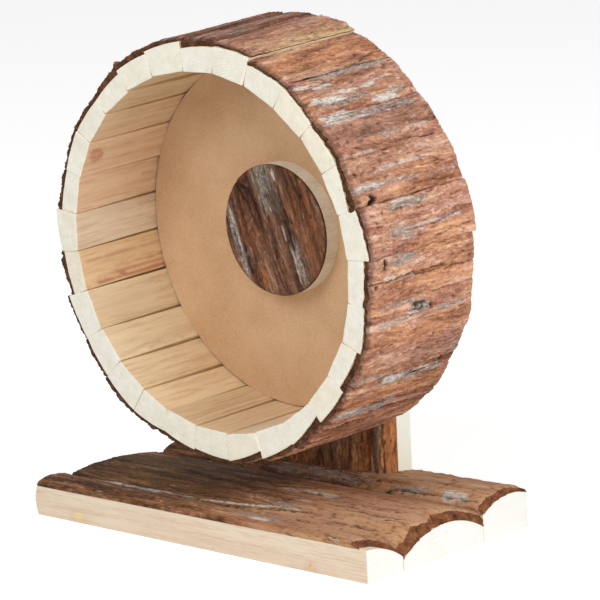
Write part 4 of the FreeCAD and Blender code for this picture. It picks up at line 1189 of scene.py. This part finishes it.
# Half of the floor's side in metres, its colour, and its own light where it is seen
FLOOR_HALF = 6.0
FLOOR_COLOUR = (0.9, 0.9, 0.9, 1.0)
FLOOR_LIFT = 0.5
WORLD_LIGHT = 0.34
# Lamps: name, degrees round from the front towards +X, degrees up, distance, side in metres, watts
LAMPS = (
    ("key", 84.0, 18.0, 1.6, 0.9, 12.4),
    ("fill", 8.0, 40.0, 1.9, 1.3, 16.3),
    ("top", 60.0, 80.0, 1.8, 1.2, 3.2),
)


def build_camera():
    """The camera at the photograph's viewing angle."""
    yaw, pitch, roll = (math.radians(a) for a in (CAMERA_YAW, CAMERA_PITCH, CAMERA_ROLL))
    ahead = Vector((-math.sin(yaw) * math.cos(pitch), math.cos(yaw) * math.cos(pitch), -math.sin(pitch)))
    level = Vector((math.cos(yaw), math.sin(yaw), 0.0))
    upward = level.cross(ahead)
    right = level * math.cos(roll) + upward * math.sin(roll)
    up = upward * math.cos(roll) - level * math.sin(roll)
    data = bpy.data.cameras.new("camera")
    data.lens = CAMERA_LENS
    data.sensor_width = CAMERA_SENSOR
    data.clip_end = CAMERA_REACH
    camera = place_object("camera", data)
    turn = Matrix((right, up, -ahead)).transposed().to_4x4()
    camera.matrix_world = Matrix.Translation(Vector(CAMERA_PLACE) * MM) @ turn
    bpy.context.scene.camera = camera


def seen_rays(tree):
    """1 for rays that show a thing to the camera, straight or by reflection or through glass."""
    path = add(tree, "ShaderNodeLightPath", {})
    seen = calc(tree, "MAXIMUM", path.outputs["Is Camera Ray"], path.outputs["Is Glossy Ray"])
    return calc(tree, "MAXIMUM", seen, path.outputs["Is Transmission Ray"])


def build_floor():
    """A pale floor that keeps the shadow."""
    h = FLOOR_HALF
    mesh = bpy.data.meshes.new("floor")
    mesh.from_pydata([(-h, -h, 0), (h, -h, 0), (h, h, 0), (-h, h, 0)], [], [(0, 1, 2, 3)])
    floor = place_object("floor", mesh)
    material, tree, shader = new_material("floor")
    lift = calc(tree, "MULTIPLY", seen_rays(tree), FLOOR_LIFT)
    put(tree, shader, {"Base Color": FLOOR_COLOUR, "Roughness": 0.9, "Specular IOR Level": 0.0})
    put(tree, shader, {"Emission Color": WHITE, "Emission Strength": lift})
    mesh.materials.append(material)


def build_world():
    """Even light from all round, with a white background where it is seen."""
    world = bpy.data.worlds.new("studio")
    bpy.context.scene.world = world
    world.use_nodes = True
    tree = world.node_tree
    light = tree.nodes["Background"]
    strength = calc(tree, "MULTIPLY_ADD", seen_rays(tree), 1.0 - WORLD_LIGHT, WORLD_LIGHT)
    put(tree, light, {"Color": WHITE, "Strength": strength})


def build_lamps():
    """Soft square lamps that face the axle."""
    middle = Vector(AXLE) * MM
    for name, around, up, distance, side, watts in LAMPS:
        data = bpy.data.lights.new(name, "AREA")
        data.shape = "SQUARE"
        data.size = side
        data.energy = watts
        lamp = place_object(name, data)
        a, e = math.radians(around), math.radians(up)
        back = Vector((math.sin(a) * math.cos(e), -math.cos(a) * math.cos(e), math.sin(e)))
        lamp.location = middle + back * distance
        lamp.rotation_euler = (-back).to_track_quat("-Z", "Y").to_euler()


build_drum()
build_base()
build_post()
build_hub()
finish_nodes()
build_camera()
build_floor()
build_world()
build_lamps()
bpy.context.scene.view_settings.view_transform = "Standard"
